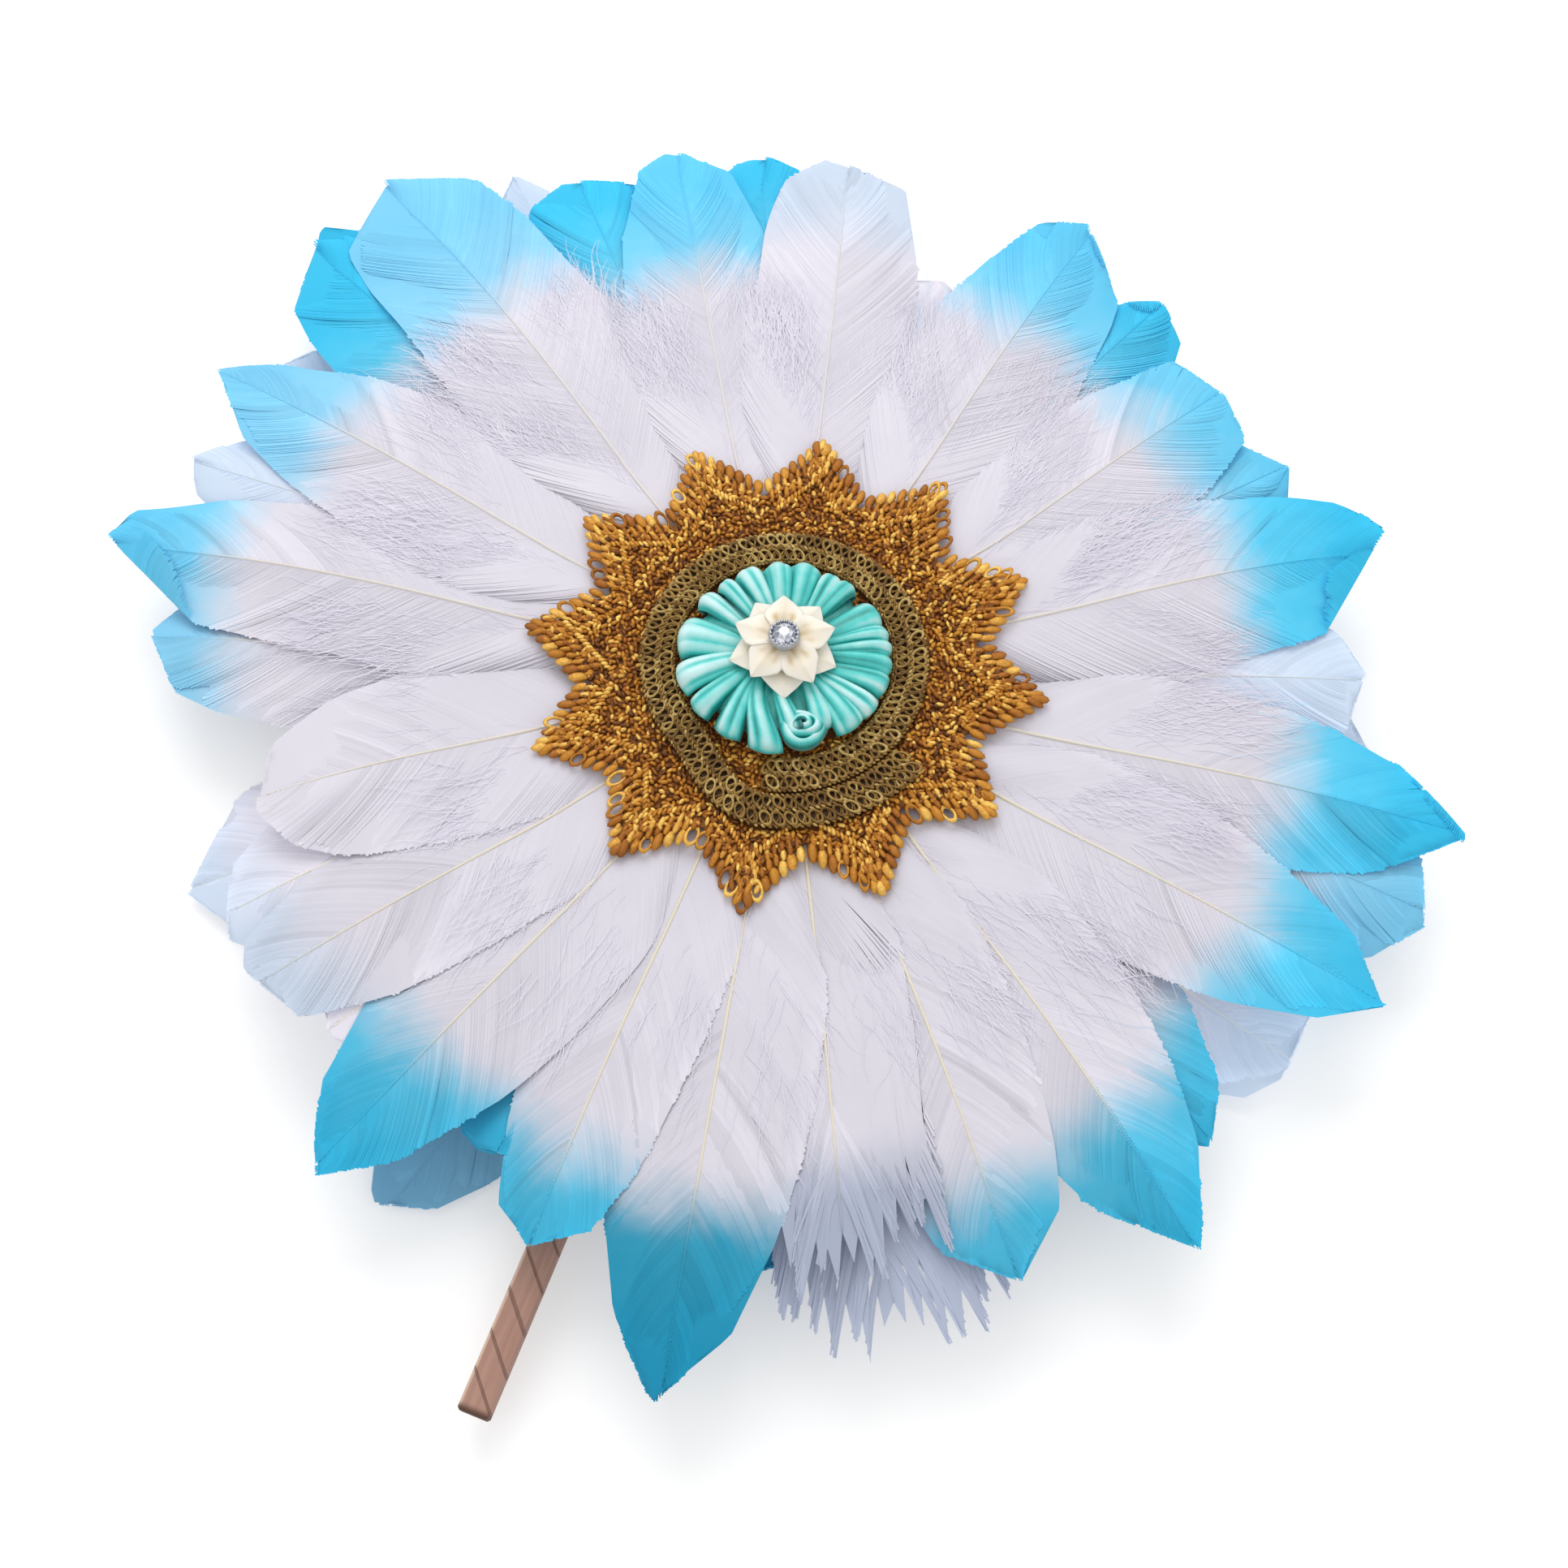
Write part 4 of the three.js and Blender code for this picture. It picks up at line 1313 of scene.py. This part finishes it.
def stitch_rows(rng, spots, ways, lift, spans, form, tones, jitter=0.16):
    """Stitches of drawn sizes and tones, lying on the lace."""
    lying = lie_flat(rng, spots, ways, lift, jitter)
    size = stitch_sizes(rng, len(spots), *spans)
    return lay("stitches", LACE_TREE, GOLD, *lying, size, form, tone=rng.uniform(*tones, len(spots)))


def lace_border():
    """Leaf-shaped picot loops round the star's edge, with two rows of long stitches inside them."""
    rng = np.random.default_rng(SEED + 1)
    loops, leaves = [], []
    for valley, edge, along, out, lean in arm_edges():
        for index in range(PICOTS_ON_EDGE):
            foot = valley + along * edge * (index + 0.62) / (PICOTS_ON_EDGE + 0.2)
            loops.append((foot + lean * 0.4, lean))
        for row, inward in enumerate(LEAF_ROWS):
            for index in range(PICOTS_ON_EDGE + 2):
                foot = valley + along * edge * (index + 0.3 + 0.4 * row) / (PICOTS_ON_EDGE + 2)
                leaves.append((foot - out * inward, lean))
    loops += [(toward(axis) * (STAR_TIP + 0.2), toward(axis)) for axis in ARMS]
    count = len(loops)
    lying = lie_flat(rng, *zip(*loops), 0.1)
    opened = rng.random(count) < OPEN_PICOTS
    size = stitch_sizes(rng, count, *PICOT_SIZE)
    size[opened, 2] = OPEN_HEIGHT
    form = np.where(opened, 1, 2)
    rim = lay("rim", LACE_TREE, GOLD, *lying, size, form, tone=rng.uniform(0.3, 0.95, count))
    inner = stitch_rows(rng, *zip(*leaves), 0.35, LEAF_SIZE, 2, (0.25, 0.95))
    return join("lace_picots", GOLD, [rim, inner])


def lace_cords():
    """The raised cords that run along inside the star's edges, as rows of slanted stitches."""
    rng = np.random.default_rng(SEED + 2)
    spots, ways = [], []
    for valley, edge, along, out, _ in arm_edges():
        for place in np.arange(-1.0, edge - CORD_IN * 0.62, CORD_PITCH):
            spots.append(valley - out * CORD_IN + along * place)
            ways.append(along * 0.72 + out * 0.69)
    cord = stitch_rows(rng, spots, ways, 0.85, CORD_SIZE, 0, (0.5, 1.0), 0.08)
    return join("lace_cords", GOLD, [cord])


def lace_field():
    """The dense stitches of the star's middle, laid every way in drifts, but not under the braid."""
    rng = np.random.default_rng(SEED + 3)
    rows = np.arange(-STAR_TIP, STAR_TIP, GRAIN_PITCH * 0.87)
    spots = np.array([
        (x + (index % 2) * GRAIN_PITCH / 2, y)
        for index, y in enumerate(rows) for x in np.arange(-STAR_TIP, STAR_TIP, GRAIN_PITCH)
    ])
    spots = spots + rng.normal(0, 0.26, spots.shape)
    radius = radii_of(spots)
    reach = star_reach(np.arctan2(spots[:, 1], spots[:, 0]))
    margin = np.interp(reach / STAR_VALLEY, [1.02, 1.1], [2.6, 4.0])
    spots = spots[(radius < reach - margin) & (radius > FIELD_FROM)]
    line = braid_line(2.0)[0][4:-3, :2]
    from_braid = np.hypot(*np.moveaxis(spots[:, None] - line[None], 2, 0)).min(axis=1)
    spots = spots[from_braid > BRAID_WIDTH / 2 - 0.2]
    count = len(spots)
    drift = 2.4 * np.sin(spots[:, 0] * 0.24 + 1.3) + 1.9 * np.cos(spots[:, 1] * 0.21 - 0.4)
    yaw = drift + rng.normal(0, 0.7, count)
    ways = np.column_stack([np.cos(yaw), np.sin(yaw)])
    places, headings, upward = lie_flat(rng, spots, ways, 0.3, 0.3)
    places[:, 2] += rng.uniform(-0.15, 0.5, count)
    size = stitch_sizes(rng, count, *GRAIN_SIZE)
    tone = np.clip(rng.beta(1.25, 1.5, count) * 1.08, 0, 1)
    field = lay("field", LACE_TREE, GOLD, places, headings, upward, size, 0, tone=tone)
    return join("lace_field", GOLD, [field])


def lace_ground():
    """The net that carries the stitches: a star-shaped sheet with a round hole under the rosette."""
    angle = full_turn(NET_COLUMNS) + math.radians(STAR_TURN)
    share = np.linspace(0, 1, NET_ROWS)[:, None]
    radius = LACE_HOLE + 0.4 + (star_reach(angle)[None] - NET_INSET - LACE_HOLE) * share
    points = circle(radius, angle, 0.0)
    x, y = points[:, :, 0], points[:, :, 1]
    rough = 0.12 * np.sin(x * 2.9) * np.sin(y * 3.1)
    points[:, :, 2] = lace_height(x, y) + rough
    faces = grid_faces(NET_ROWS, NET_COLUMNS, around=True)
    # Painted shade: the net is dark, as the shade between the stitches, and a little lighter where it
    # bulges up
    tone = 0.14 + 0.5 * rough.reshape(-1)
    mesh = make_mesh("lace_ground", points.reshape(-1, 3), faces, GOLD, tone=tone)
    face_up(mesh)
    piece = make_piece("lace_ground", mesh)
    thicken(piece, LACE_SHEET)
    return piece


def lace():
    """The star: its net and three layers of stitches. Its flat area is the star's, less the hole."""
    ground = lace_ground()
    for piece in (ground, lace_border(), lace_cords(), lace_field()):
        settle(piece, "gold_lace", "lace_star")


# Braid

BRAID_WIDTH = 9.5
BRAID_GAP = 0.5
BRAID_START = 285
BRAID_TAIL = 53
BRAID_BLEND = 45

# Two rows of loops, three cords between and beside them, and the band underneath, painted dark as shade
LOOP_PITCH = 2.35
LOOP_ASIDE = 2.15
LOOP_SIZE = (4.0, 4.5), (2.3, 2.7)
LOOP_HEIGHT = 3.6
LOOP_RISE = 1.25
LOOP_OVER = 0.22
TWIST_PITCH = 1.15
TWIST_SIZE = (1.7, 0.85, 0.9)
CORD_RISES = {-4.3: 1.1, 0.0: 1.75, 4.3: 1.1}
BAND_HALF = 4.2
BAND_COLUMNS = 7
BAND_RISE = 0.75
BAND_CAMBER = 0.03

braid_points = node_points("braid_ring")
BRAID_INNER = radii_of(braid_points).min()
BRAID_SEAT = braid_points[:, 2].min()

BRAID_TREE = laying_tree("braid_yarn", [yarn_loop, grain], Yarn=0.13)


def braid_line(step):
    """The braid's middle line, once round and then out beside its own start."""
    degrees = np.arange(0, 360 + BRAID_TAIL, step)
    aside = grow(degrees, 360 - BRAID_BLEND, BRAID_BLEND)
    ease = aside * aside * (3 - 2 * aside)
    radius = BRAID_INNER + BRAID_WIDTH / 2 + (BRAID_WIDTH + BRAID_GAP) * ease
    line = circle(radius, np.radians(BRAID_START + degrees), 0.0)
    way = unit(np.gradient(line, axis=0))
    return line, way, np.cross(way, UP)


def braid():
    """Two rows of yarn loops between edge cords, over a flat band painted dark as the shade beneath them.
    """
    rng = np.random.default_rng(SEED + 4)
    middle = BRAID_INNER + BRAID_WIDTH / 2
    line, way, aside = braid_line(math.degrees(LOOP_PITCH / middle))
    count = len(line)
    meshes = []
    for row in (-1, 1):
        for lean in (1, -1):
            spots = line + aside * row * LOOP_ASIDE + way * (LOOP_PITCH / 4) * lean
            spots[:, 2] = BRAID_SEAT + LOOP_RISE + LOOP_OVER * lean
            headings = way * 0.62 + aside * 0.78 * lean
            upward = UP + aside * 0.18 * row
            size = np.column_stack([stitch_sizes(rng, count, *LOOP_SIZE), np.full(count, LOOP_HEIGHT)])
            tone = rng.uniform(0.25, 0.9, count)
            meshes.append(lay("loops", BRAID_TREE, BRONZE, spots, headings, upward, size, 0, tone=tone))
    line, way, aside = braid_line(math.degrees(TWIST_PITCH / middle))
    count = len(line)
    for offset, rise in CORD_RISES.items():
        spots = line + aside * offset
        spots[:, 2] = BRAID_SEAT + rise
        headings = way * 0.8 + aside * 0.6
        tone = rng.uniform(0.3, 0.95, count)
        meshes.append(lay("cord", BRAID_TREE, BRONZE, spots, headings, UP, TWIST_SIZE, 1, tone=tone))
    edges = np.linspace(-BAND_HALF, BAND_HALF, BAND_COLUMNS)
    band = line[:, None] + aside[:, None] * edges[None, :, None]
    band[:, :, 2] = BRAID_SEAT + BAND_RISE - BAND_CAMBER * edges**2
    faces = grid_faces(count, BAND_COLUMNS, flip=True)
    meshes.append(make_mesh("band", band.reshape(-1, 3), faces, BRONZE, tone=0.02))
    settle(join("braid_loops", BRONZE, meshes), "bronze_braid", "braid_ring")


# Rosette

# The rosette's loops of ribbon: where each ends round it, its width, its reach, and its root's lag
LOOPS = [
    (1, 8.6, 28.6, 0), (13.5, 6.6, 28.5, 0), (23.5, 5.8, 28.3, 0), (32, 5.6, 28.0, 0), (47, 10.2, 27.6, 2),
    (70, 6.4, 26.8, -3), (81, 6.4, 26.6, 0), (99, 8.8, 27.4, 0), (116, 8.0, 26.6, 2), (133, 8.2, 27.0, 3),
    (149, 5.4, 26.4, 0), (164, 6.8, 27.6, -4), (190, 12.0, 28.4, -3), (216, 9.6, 29.0, 8),
    (236, 7.6, 28.6, 12), (258, 8.0, 28.6, 20), (281, 9.2, 29.2, 38), (296, 6.4, 24.0, 20),
    (318, 7.0, 24.5, -10), (331, 9.0, 28.4, -6), (346, 7.4, 28.7, 0),
]
# A loop's side view: share of its reach, and millimetres above the rosette's seat
LOOP_SIDE = [
    (0.0, 4.8), (0.12, 5.0), (0.25, 5.4), (0.4, 6.0), (0.55, 6.6), (0.68, 6.9), (0.78, 6.9), (0.86, 6.6),
    (0.92, 6.0), (0.965, 5.1), (0.99, 4.1), (1.0, 3.1), (0.99, 2.2), (0.95, 1.4), (0.88, 0.9),
]
LOOP_COLUMNS = 31
LOOP_ROOT = 6.5
LOOP_BEND = 1.35
# The side of the rosette on which the loops' satin has painted shade
SHADE_SIDE = 21

# The bed's side view: radius, and millimetres above the rosette's seat
BED_SIDE = [(4.6, 5.2), (9, 5.0), (14, 4.8), (18, 4.4), (21, 3.8), (23, 2.8), (24, 1.4), (22, 0.5)]
BED_COLUMNS = 120

# The rolled end: where it is, its turns, and across it the lean, the drop and the painted light and shade
# on its satin, bright at the top edge and dark below
ROLL_AT = 303
ROLL_OUT = 22
ROLL_TURNS = 2.3
ROLL_COLUMNS = 120
ROLL_SIDE = [
    (-0.8, 1.5, 0.0), (-0.4, 0.4, 0.3), (0.0, 0.0, 0.95), (0.6, 0.25, 0.85), (1.2, 0.8, 0.5),
    (1.7, 1.6, 0.15), (2.1, 3.2, 0.0),
]

RUFFLE_RIBBON = 34
RUFFLE_SHEET = 0.25
RUFFLE_SEAT = node_box("rosette_ruffle")[0][2]

# The flower's petals. The outline is their half-width at shares of their length, 1 being the widest
PETALS = 5
PETAL_ROWS = 18
PETAL_COLUMNS = 15
PETAL_FROM = 1.6
PETAL_LONGER = 1.06
PETAL_OUTLINE = [0, 0.12, 0.42, 0.58, 0.8, 1], [0.3, 0.55, 0.96, 0.92, 0.5, 0.02]
PETAL_RIBBON = 12
PETAL_SHEET = 0.22


def ribbon_loop(rng, at, width, reach, lag):
    """One loop of the gathered ribbon: narrow at its root, puffed and pleated, rolled under at its end."""
    share, top = np.array(LOOP_SIDE).T[:, :, None]
    row = np.linspace(0, 1, len(LOOP_SIDE))[:, None]
    bend = np.linspace(-LOOP_BEND, LOOP_BEND, LOOP_COLUMNS)[None]
    across = np.sin(bend) / math.sin(LOOP_BEND)
    fall = (1 - np.cos(bend)) / (1 - math.cos(LOOP_BEND))
    full = share**0.8
    half = width / 2 * (0.34 + 0.72 * full - 0.16 * np.clip(row - 0.55, 0, 1) ** 2 * 5)

    folds = rng.uniform(1.0, 2.0) + width / 10
    pleat = np.cos(bend * folds * 1.16 + rng.uniform(-2, 2) + rng.uniform(-0.6, 0.6) * row)
    sharp = rng.uniform(0.35, 1.05)
    pleat = sharp * (2 * np.abs(pleat) ** 0.7 - 1.2) * np.sin(math.pi * np.clip(row, 0, 0.8) / 0.8)
    lift = rng.uniform(-0.7, 0.6) + rng.uniform(-0.8, 0.8) * across
    height = lift + 0.55 * pleat - min(3.2, 0.45 * width) * fall
    height = top + height * np.minimum(1.0, 0.25 + full) * np.minimum(1, top / 5)
    out = LOOP_ROOT + (reach - LOOP_ROOT - 1.2 * across**2) * share + 0.5 * pleat * share**3
    wave = rng.uniform(-0.6, 0.6) * np.sin(2.4 * share + rng.uniform(0, 6))
    turn = math.radians(at) - math.radians(lag) * (1 - share) ** 1.5
    turn = turn + (half * across + wave) / np.maximum(out, 9)
    grid = circle(out, turn, RUFFLE_SEAT + np.maximum(height, 0.4))

    # Painted light and shade on the satin: highlights on the pleats, round the rim and along the edges, and
    # shade on the sides that fall away, near the root, where the end rolls under and on one side of the
    # rosette, besides a random brightness for each loop
    rim = hump(row, 0.62, 0.1)
    edge = hump(np.abs(across), rng.uniform(0.4, 0.75), 0.16) * np.clip(share * 1.6 - 0.4, 0, 1)
    shine = 0.5 + rng.uniform(-0.2, 0.18) - 0.1 * math.cos(math.radians(at - SHADE_SIDE))
    shine = shine + 0.46 * pleat + 0.2 * rim + rng.uniform(0.05, 0.4) * edge
    shine = shine - 0.75 * fall**1.5 - 0.4 * np.clip(1 - share / 0.35, 0, 1) - 0.5 * grow(row, 0.72, 0.28)
    return cloth("loop", grid, TURQUOISE, np.clip(shine, 0, 1), gridded(out, half * across))


def ruffle_bed():
    """The gathered ribbon deep between the loops, painted dark as the shade there."""
    turn = full_turn(BED_COLUMNS)
    out, height = np.array(BED_SIDE).T[:, :, None]
    height = height + 0.25 * np.sin(turn * 31)
    grid = circle(out + 0.4 * np.sin(turn * 23), turn, RUFFLE_SEAT + height)
    return cloth("bed", grid, TURQUOISE, 0.1, grid[:, :, :2], around=True)


def ribbon_roll():
    """The ribbon's end, rolled up on itself like a rosebud and tucked between two loops."""
    turn = np.linspace(0, 2 * math.pi * ROLL_TURNS, ROLL_COLUMNS)[None]
    grown = turn / turn.max()
    lean, drop, crest = np.array(ROLL_SIDE).T[:, :, None]
    wave = 0.7 * np.sin(turn * 2.6 + 0.8) * grown
    spread = 1.0 + 3.5 * grown + lean * (0.7 + 0.4 * grown) + wave
    height = 8.0 - 2.4 * grown - drop + 0.35 * np.sin(turn * 1.7 + 1.0)
    x, y = ROLL_OUT + 0.94 * spread * np.cos(turn), 1.14 * spread * np.sin(turn)
    grid = rotated(gridded(x, y, RUFFLE_SEAT + np.maximum(height, 0.5)), math.radians(ROLL_AT))
    crest = np.clip(crest + 0.2 * np.sin(turn * 2.9), 0, 1)
    return cloth("roll", grid, TURQUOISE, crest, gridded(turn * 2.6, lean * 3))


def flower(name, node, turned, half_width):
    """A layer of pointed petals, each a folded piece of cream satin with a fold along its middle."""
    low, high = node_box(node)
    reach = radii_of(node_points(node)).max() * PETAL_LONGER
    rng = np.random.default_rng(SEED + 6 + turned)
    along = np.linspace(0, 1, PETAL_ROWS)[:, None]
    across = np.linspace(-1, 1, PETAL_COLUMNS)[None]
    side = np.abs(across)
    groove = np.cos(math.pi * np.clip(along * 1.15, 0, 1))
    cupped = (side**0.8 - 0.5) * groove * np.sin(math.pi * np.clip(along, 0.12, 0.9))
    rise = np.sin(math.pi * along**0.7) ** 0.8
    crease_shade = hump(across, 0, 0.2) * (1 - along)
    hollow_shade = hump(side, 0.45, 0.2) * hump(along, 0.38, 0.16)
    y = half_width * np.interp(along, *PETAL_OUTLINE) * across
    meshes = []
    for petal in range(PETALS):
        tilt = rng.uniform(-0.5, 0.5)
        at = math.radians(turned + 360 / PETALS * petal + rng.uniform(-4, 4))
        full = rng.uniform(0.94, 1.0)
        x = PETAL_FROM + (reach * full - PETAL_FROM) * along
        z = low[2] + 0.3 + (high[2] - low[2] - 0.9) * (0.3 + 0.6 * rise) + 1.9 * cupped
        z = z - 0.9 * along**3 + tilt * across * rise
        z = np.clip(z, low[2] + 0.05, high[2] - 0.05)
        # Painted light and shade: lighter towards the tip and on the raised sides, darker along the middle
        # fold near the base and in the hollows beside it
        crest = 0.48 + 0.3 * along + 0.2 * side * rise - 0.5 * crease_shade - rng.uniform(0.25, 0.75) * hollow_shade
        grid = rotated(gridded(x, y, z), at)
        meshes.append(cloth("petal", grid, CREAM, crest, gridded(x, y), flip=True))
    piece = join(name, CREAM, meshes)
    thicken(piece, PETAL_SHEET)
    settle(piece, "cream_satin", node)
    measure_ribbon(PETAL_RIBBON)


def rosette():
    """The gathered rosette and the flower on it."""
    rng = np.random.default_rng(SEED + 5)
    loops = [ribbon_loop(rng, *loop) for loop in LOOPS]
    ruffle = join("satin_ruffle", TURQUOISE, [ruffle_bed(), ribbon_roll()] + loops)
    thicken(ruffle, RUFFLE_SHEET)
    settle(ruffle, "turquoise_satin", "rosette_ruffle")
    measure_ribbon(RUFFLE_RIBBON)
    flower("flower_lower", "flower_lower_petals", 0, 6.4)
    flower("flower_upper", "flower_upper_petals", 36, 5.4)


# Stone and its cup

TABLE_GLINT = 0.35
CUP_SIDES = 40
BEADS = 18
BEAD_SIZE = 1.05
BEADS_AT = 0.84


def stone():
    """A round foiled stone cut with a flat table, star and kite facets."""
    low, high = node_box("rhinestone")
    rng = np.random.default_rng(SEED + 7)
    cut = bmesh.new()
    for count, size, height, turned in (
        (8, 0.4, high[2], 0), (8, 0.74, high[2] - 0.55, 0.5), (16, 1.0, high[2] - 1.5, 0),
        (16, 1.0, high[2] - 1.8, 0), (8, 0.5, low[2] + 0.02, 0),
    ):
        for corner in range(count):
            angle = (corner + turned) * 2 * math.pi / count
            cut.verts.new(Vector(circle(high[1] * size, angle, height)) * MM)
    bmesh.ops.convex_hull(cut, input=cut.verts)
    bmesh.ops.dissolve_limit(cut, angle_limit=math.radians(1), verts=cut.verts, edges=cut.edges)
    mesh = bpy.data.meshes.new("cut_stone")
    cut.to_mesh(mesh)
    cut.free()
    mesh.materials.append(STONE)
    facets = mesh.attributes.new("tone", "FLOAT", "FACE")
    # Painted reflections: a random brightness on each facet, a set one on the table
    glints = rng.uniform(0.0, 0.9, len(mesh.polygons))
    glints[max(mesh.polygons, key=lambda face: face.center.z).index] = TABLE_GLINT
    facets.data.foreach_set("value", glints.astype(np.float32))
    settle(make_piece("cut_stone", mesh), "crystal", "rhinestone")


def cup():
    """The pressed cup round the stone, with a beaded rim."""
    low, high = node_box("stone_cup")
    rim = high[0]
    profile = [
        (0.05, low[2]), (rim * 0.9, low[2]), (rim, low[2] + 0.3), (rim, low[2] + 0.8),
        (rim * 0.94, low[2] + 1.6), (rim * 0.86, high[2] - 0.5), (rim * 0.8, high[2] - 0.6),
        (rim * 0.78, low[2] + 1.2), (0.05, low[2] + 0.75),
    ]
    body = round_shape("cup_body", [circle(r, full_turn(CUP_SIDES), z) for r, z in profile], SILVER)
    turn = full_turn(BEADS)
    spots = circle(rim * BEADS_AT, turn, high[2] - 0.5)
    beads = lay("beads", LACE_TREE, SILVER, spots, circle(1.0, turn, 0.0), UP, BEAD_SIZE, 0)
    settle(join("stone_setting", SILVER, [body, beads]), "setting", "stone_cup")


# Felt

FELT_SIDES = 96
FELT_SHARES = [0.02, 0.2, 0.4, 0.6, 0.8, 0.93]
FELT_EDGE_STEPS = 8
FELT_FACE = 0.02


def felt_disc(name, node):
    """A felt circle with a soft rounded edge and an uneven outline."""
    low, high = node_box(node)
    radius = high[0]
    half = (high[2] - low[2]) / 2
    profile = [(radius * share, low[2] + FELT_FACE) for share in FELT_SHARES]
    for step in range(FELT_EDGE_STEPS + 1):
        bend = math.pi * (step / FELT_EDGE_STEPS - 0.5)
        profile.append((radius - half + half * math.cos(bend), low[2] + half * (1 + math.sin(bend))))
    profile += [(radius * share, high[2] - FELT_FACE) for share in FELT_SHARES[::-1]]
    turn = full_turn(FELT_SIDES)
    rings = []
    for r, z in profile:
        worn = 0.25 * np.sin(turn * 9 + r) * np.sin(turn * 5) * (r / radius) ** 8
        rings.append(circle(r - abs(worn), turn, z))
    piece = make_piece(name, round_shape(name, rings, FELT))
    settle(piece, "felt", node)


# Stage

# Where the camera stands: the fan is seen from above its lower right, the stick pointing down and left
VIEW_AZIMUTH = 21
VIEW_ELEVATION = 67
VIEW_DISTANCE = 520
VIEW_AIM = (12.5, -32.7, 24)
LENS = 46.4

# Plain soft light: an even sky and one wide lamp on the far side of the fan
SKY_LEVEL = 0.8
LAMP_PLACE = (-420, 760, 900)
LAMP_WIDTH = 900
LAMP_POWER = 6.5

# The floor, lifted a little towards white where it is seen
FLOOR_DROP = 0.5
FLOOR_WIDTH = 6000
FLOOR_GREY = (0.86, 0.86, 0.86, 1.0)
FLOOR_LIFT = 0.3
WHITE = (1.0, 1.0, 1.0, 1.0)


def seen(net):
    """1 where the camera sees a surface, also in metal or through glass, and 0 for the light it gives."""
    path = net.add("ShaderNodeLightPath", out="Is Camera Ray")
    beyond_glass = net.maths("MAXIMUM", path.of("Is Glossy Ray"), path.of("Is Transmission Ray"))
    return net.maths("MAXIMUM", path, beyond_glass)


def stage():
    """Floor, sky, lamp and camera."""
    pale = finish(
        "pale_floor", lambda net: {"Emission Color": net.shade(WHITE, seen(net) * FLOOR_LIFT)},
        Base_Color=FLOOR_GREY, Roughness=0.9, Specular_IOR_Level=0.0, Emission_Strength=1.0,
    )
    half = FLOOR_WIDTH / 2
    corners = [(x * half, y * half, -FLOOR_DROP) for x, y in ((-1, -1), (1, -1), (1, 1), (-1, 1))]
    make_piece("floor", make_mesh("floor", corners, [(0, 1, 2, 3)], pale))

    world = bpy.data.worlds.new("even_sky")
    bpy.context.scene.world = world
    world.use_nodes = True
    net = Net(world.node_tree)
    sky = net.tree.nodes["Background"]
    sky.inputs["Color"].default_value = WHITE
    net.tree.links.new((seen(net) * (1.0 - SKY_LEVEL) + SKY_LEVEL).socket, sky.inputs["Strength"])

    light = bpy.data.lights.new("wide_lamp", "AREA")
    light.size = LAMP_WIDTH * MM
    light.energy = LAMP_POWER
    lamp = make_piece("wide_lamp", light)
    lamp.location = Vector(LAMP_PLACE) * MM
    lamp.rotation_euler = (-lamp.location).to_track_quat("-Z", "Y").to_euler()

    azimuth, elevation = math.radians(VIEW_AZIMUTH), math.radians(VIEW_ELEVATION)
    back_off = Vector((
        math.sin(azimuth) * math.cos(elevation),
        -math.cos(azimuth) * math.cos(elevation),
        math.sin(elevation),
    ))
    lens = bpy.data.cameras.new("photo_view")
    lens.lens = LENS
    camera = make_piece("photo_view", lens)
    camera.location = (Vector(VIEW_AIM) + back_off * VIEW_DISTANCE) * MM
    camera.rotation_euler = (-back_off).to_track_quat("-Z", "Y").to_euler()
    bpy.context.scene.camera = camera
    bpy.context.scene.view_settings.view_transform = "Standard"


def paint_solid(node, material):
    """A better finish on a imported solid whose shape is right."""
    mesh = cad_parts[node].data
    mesh.materials.clear()
    mesh.materials.append(material)


stage()
feathers()
lace()
braid()
felt_disc("felt_circle", "rosette_backing")
felt_disc("felt_cover", "back_cover")
rosette()
stone()
cup()
paint_solid("handle_stick", WOOD)
paint_solid("front_card", CARD)
paint_solid("back_card", CARD)
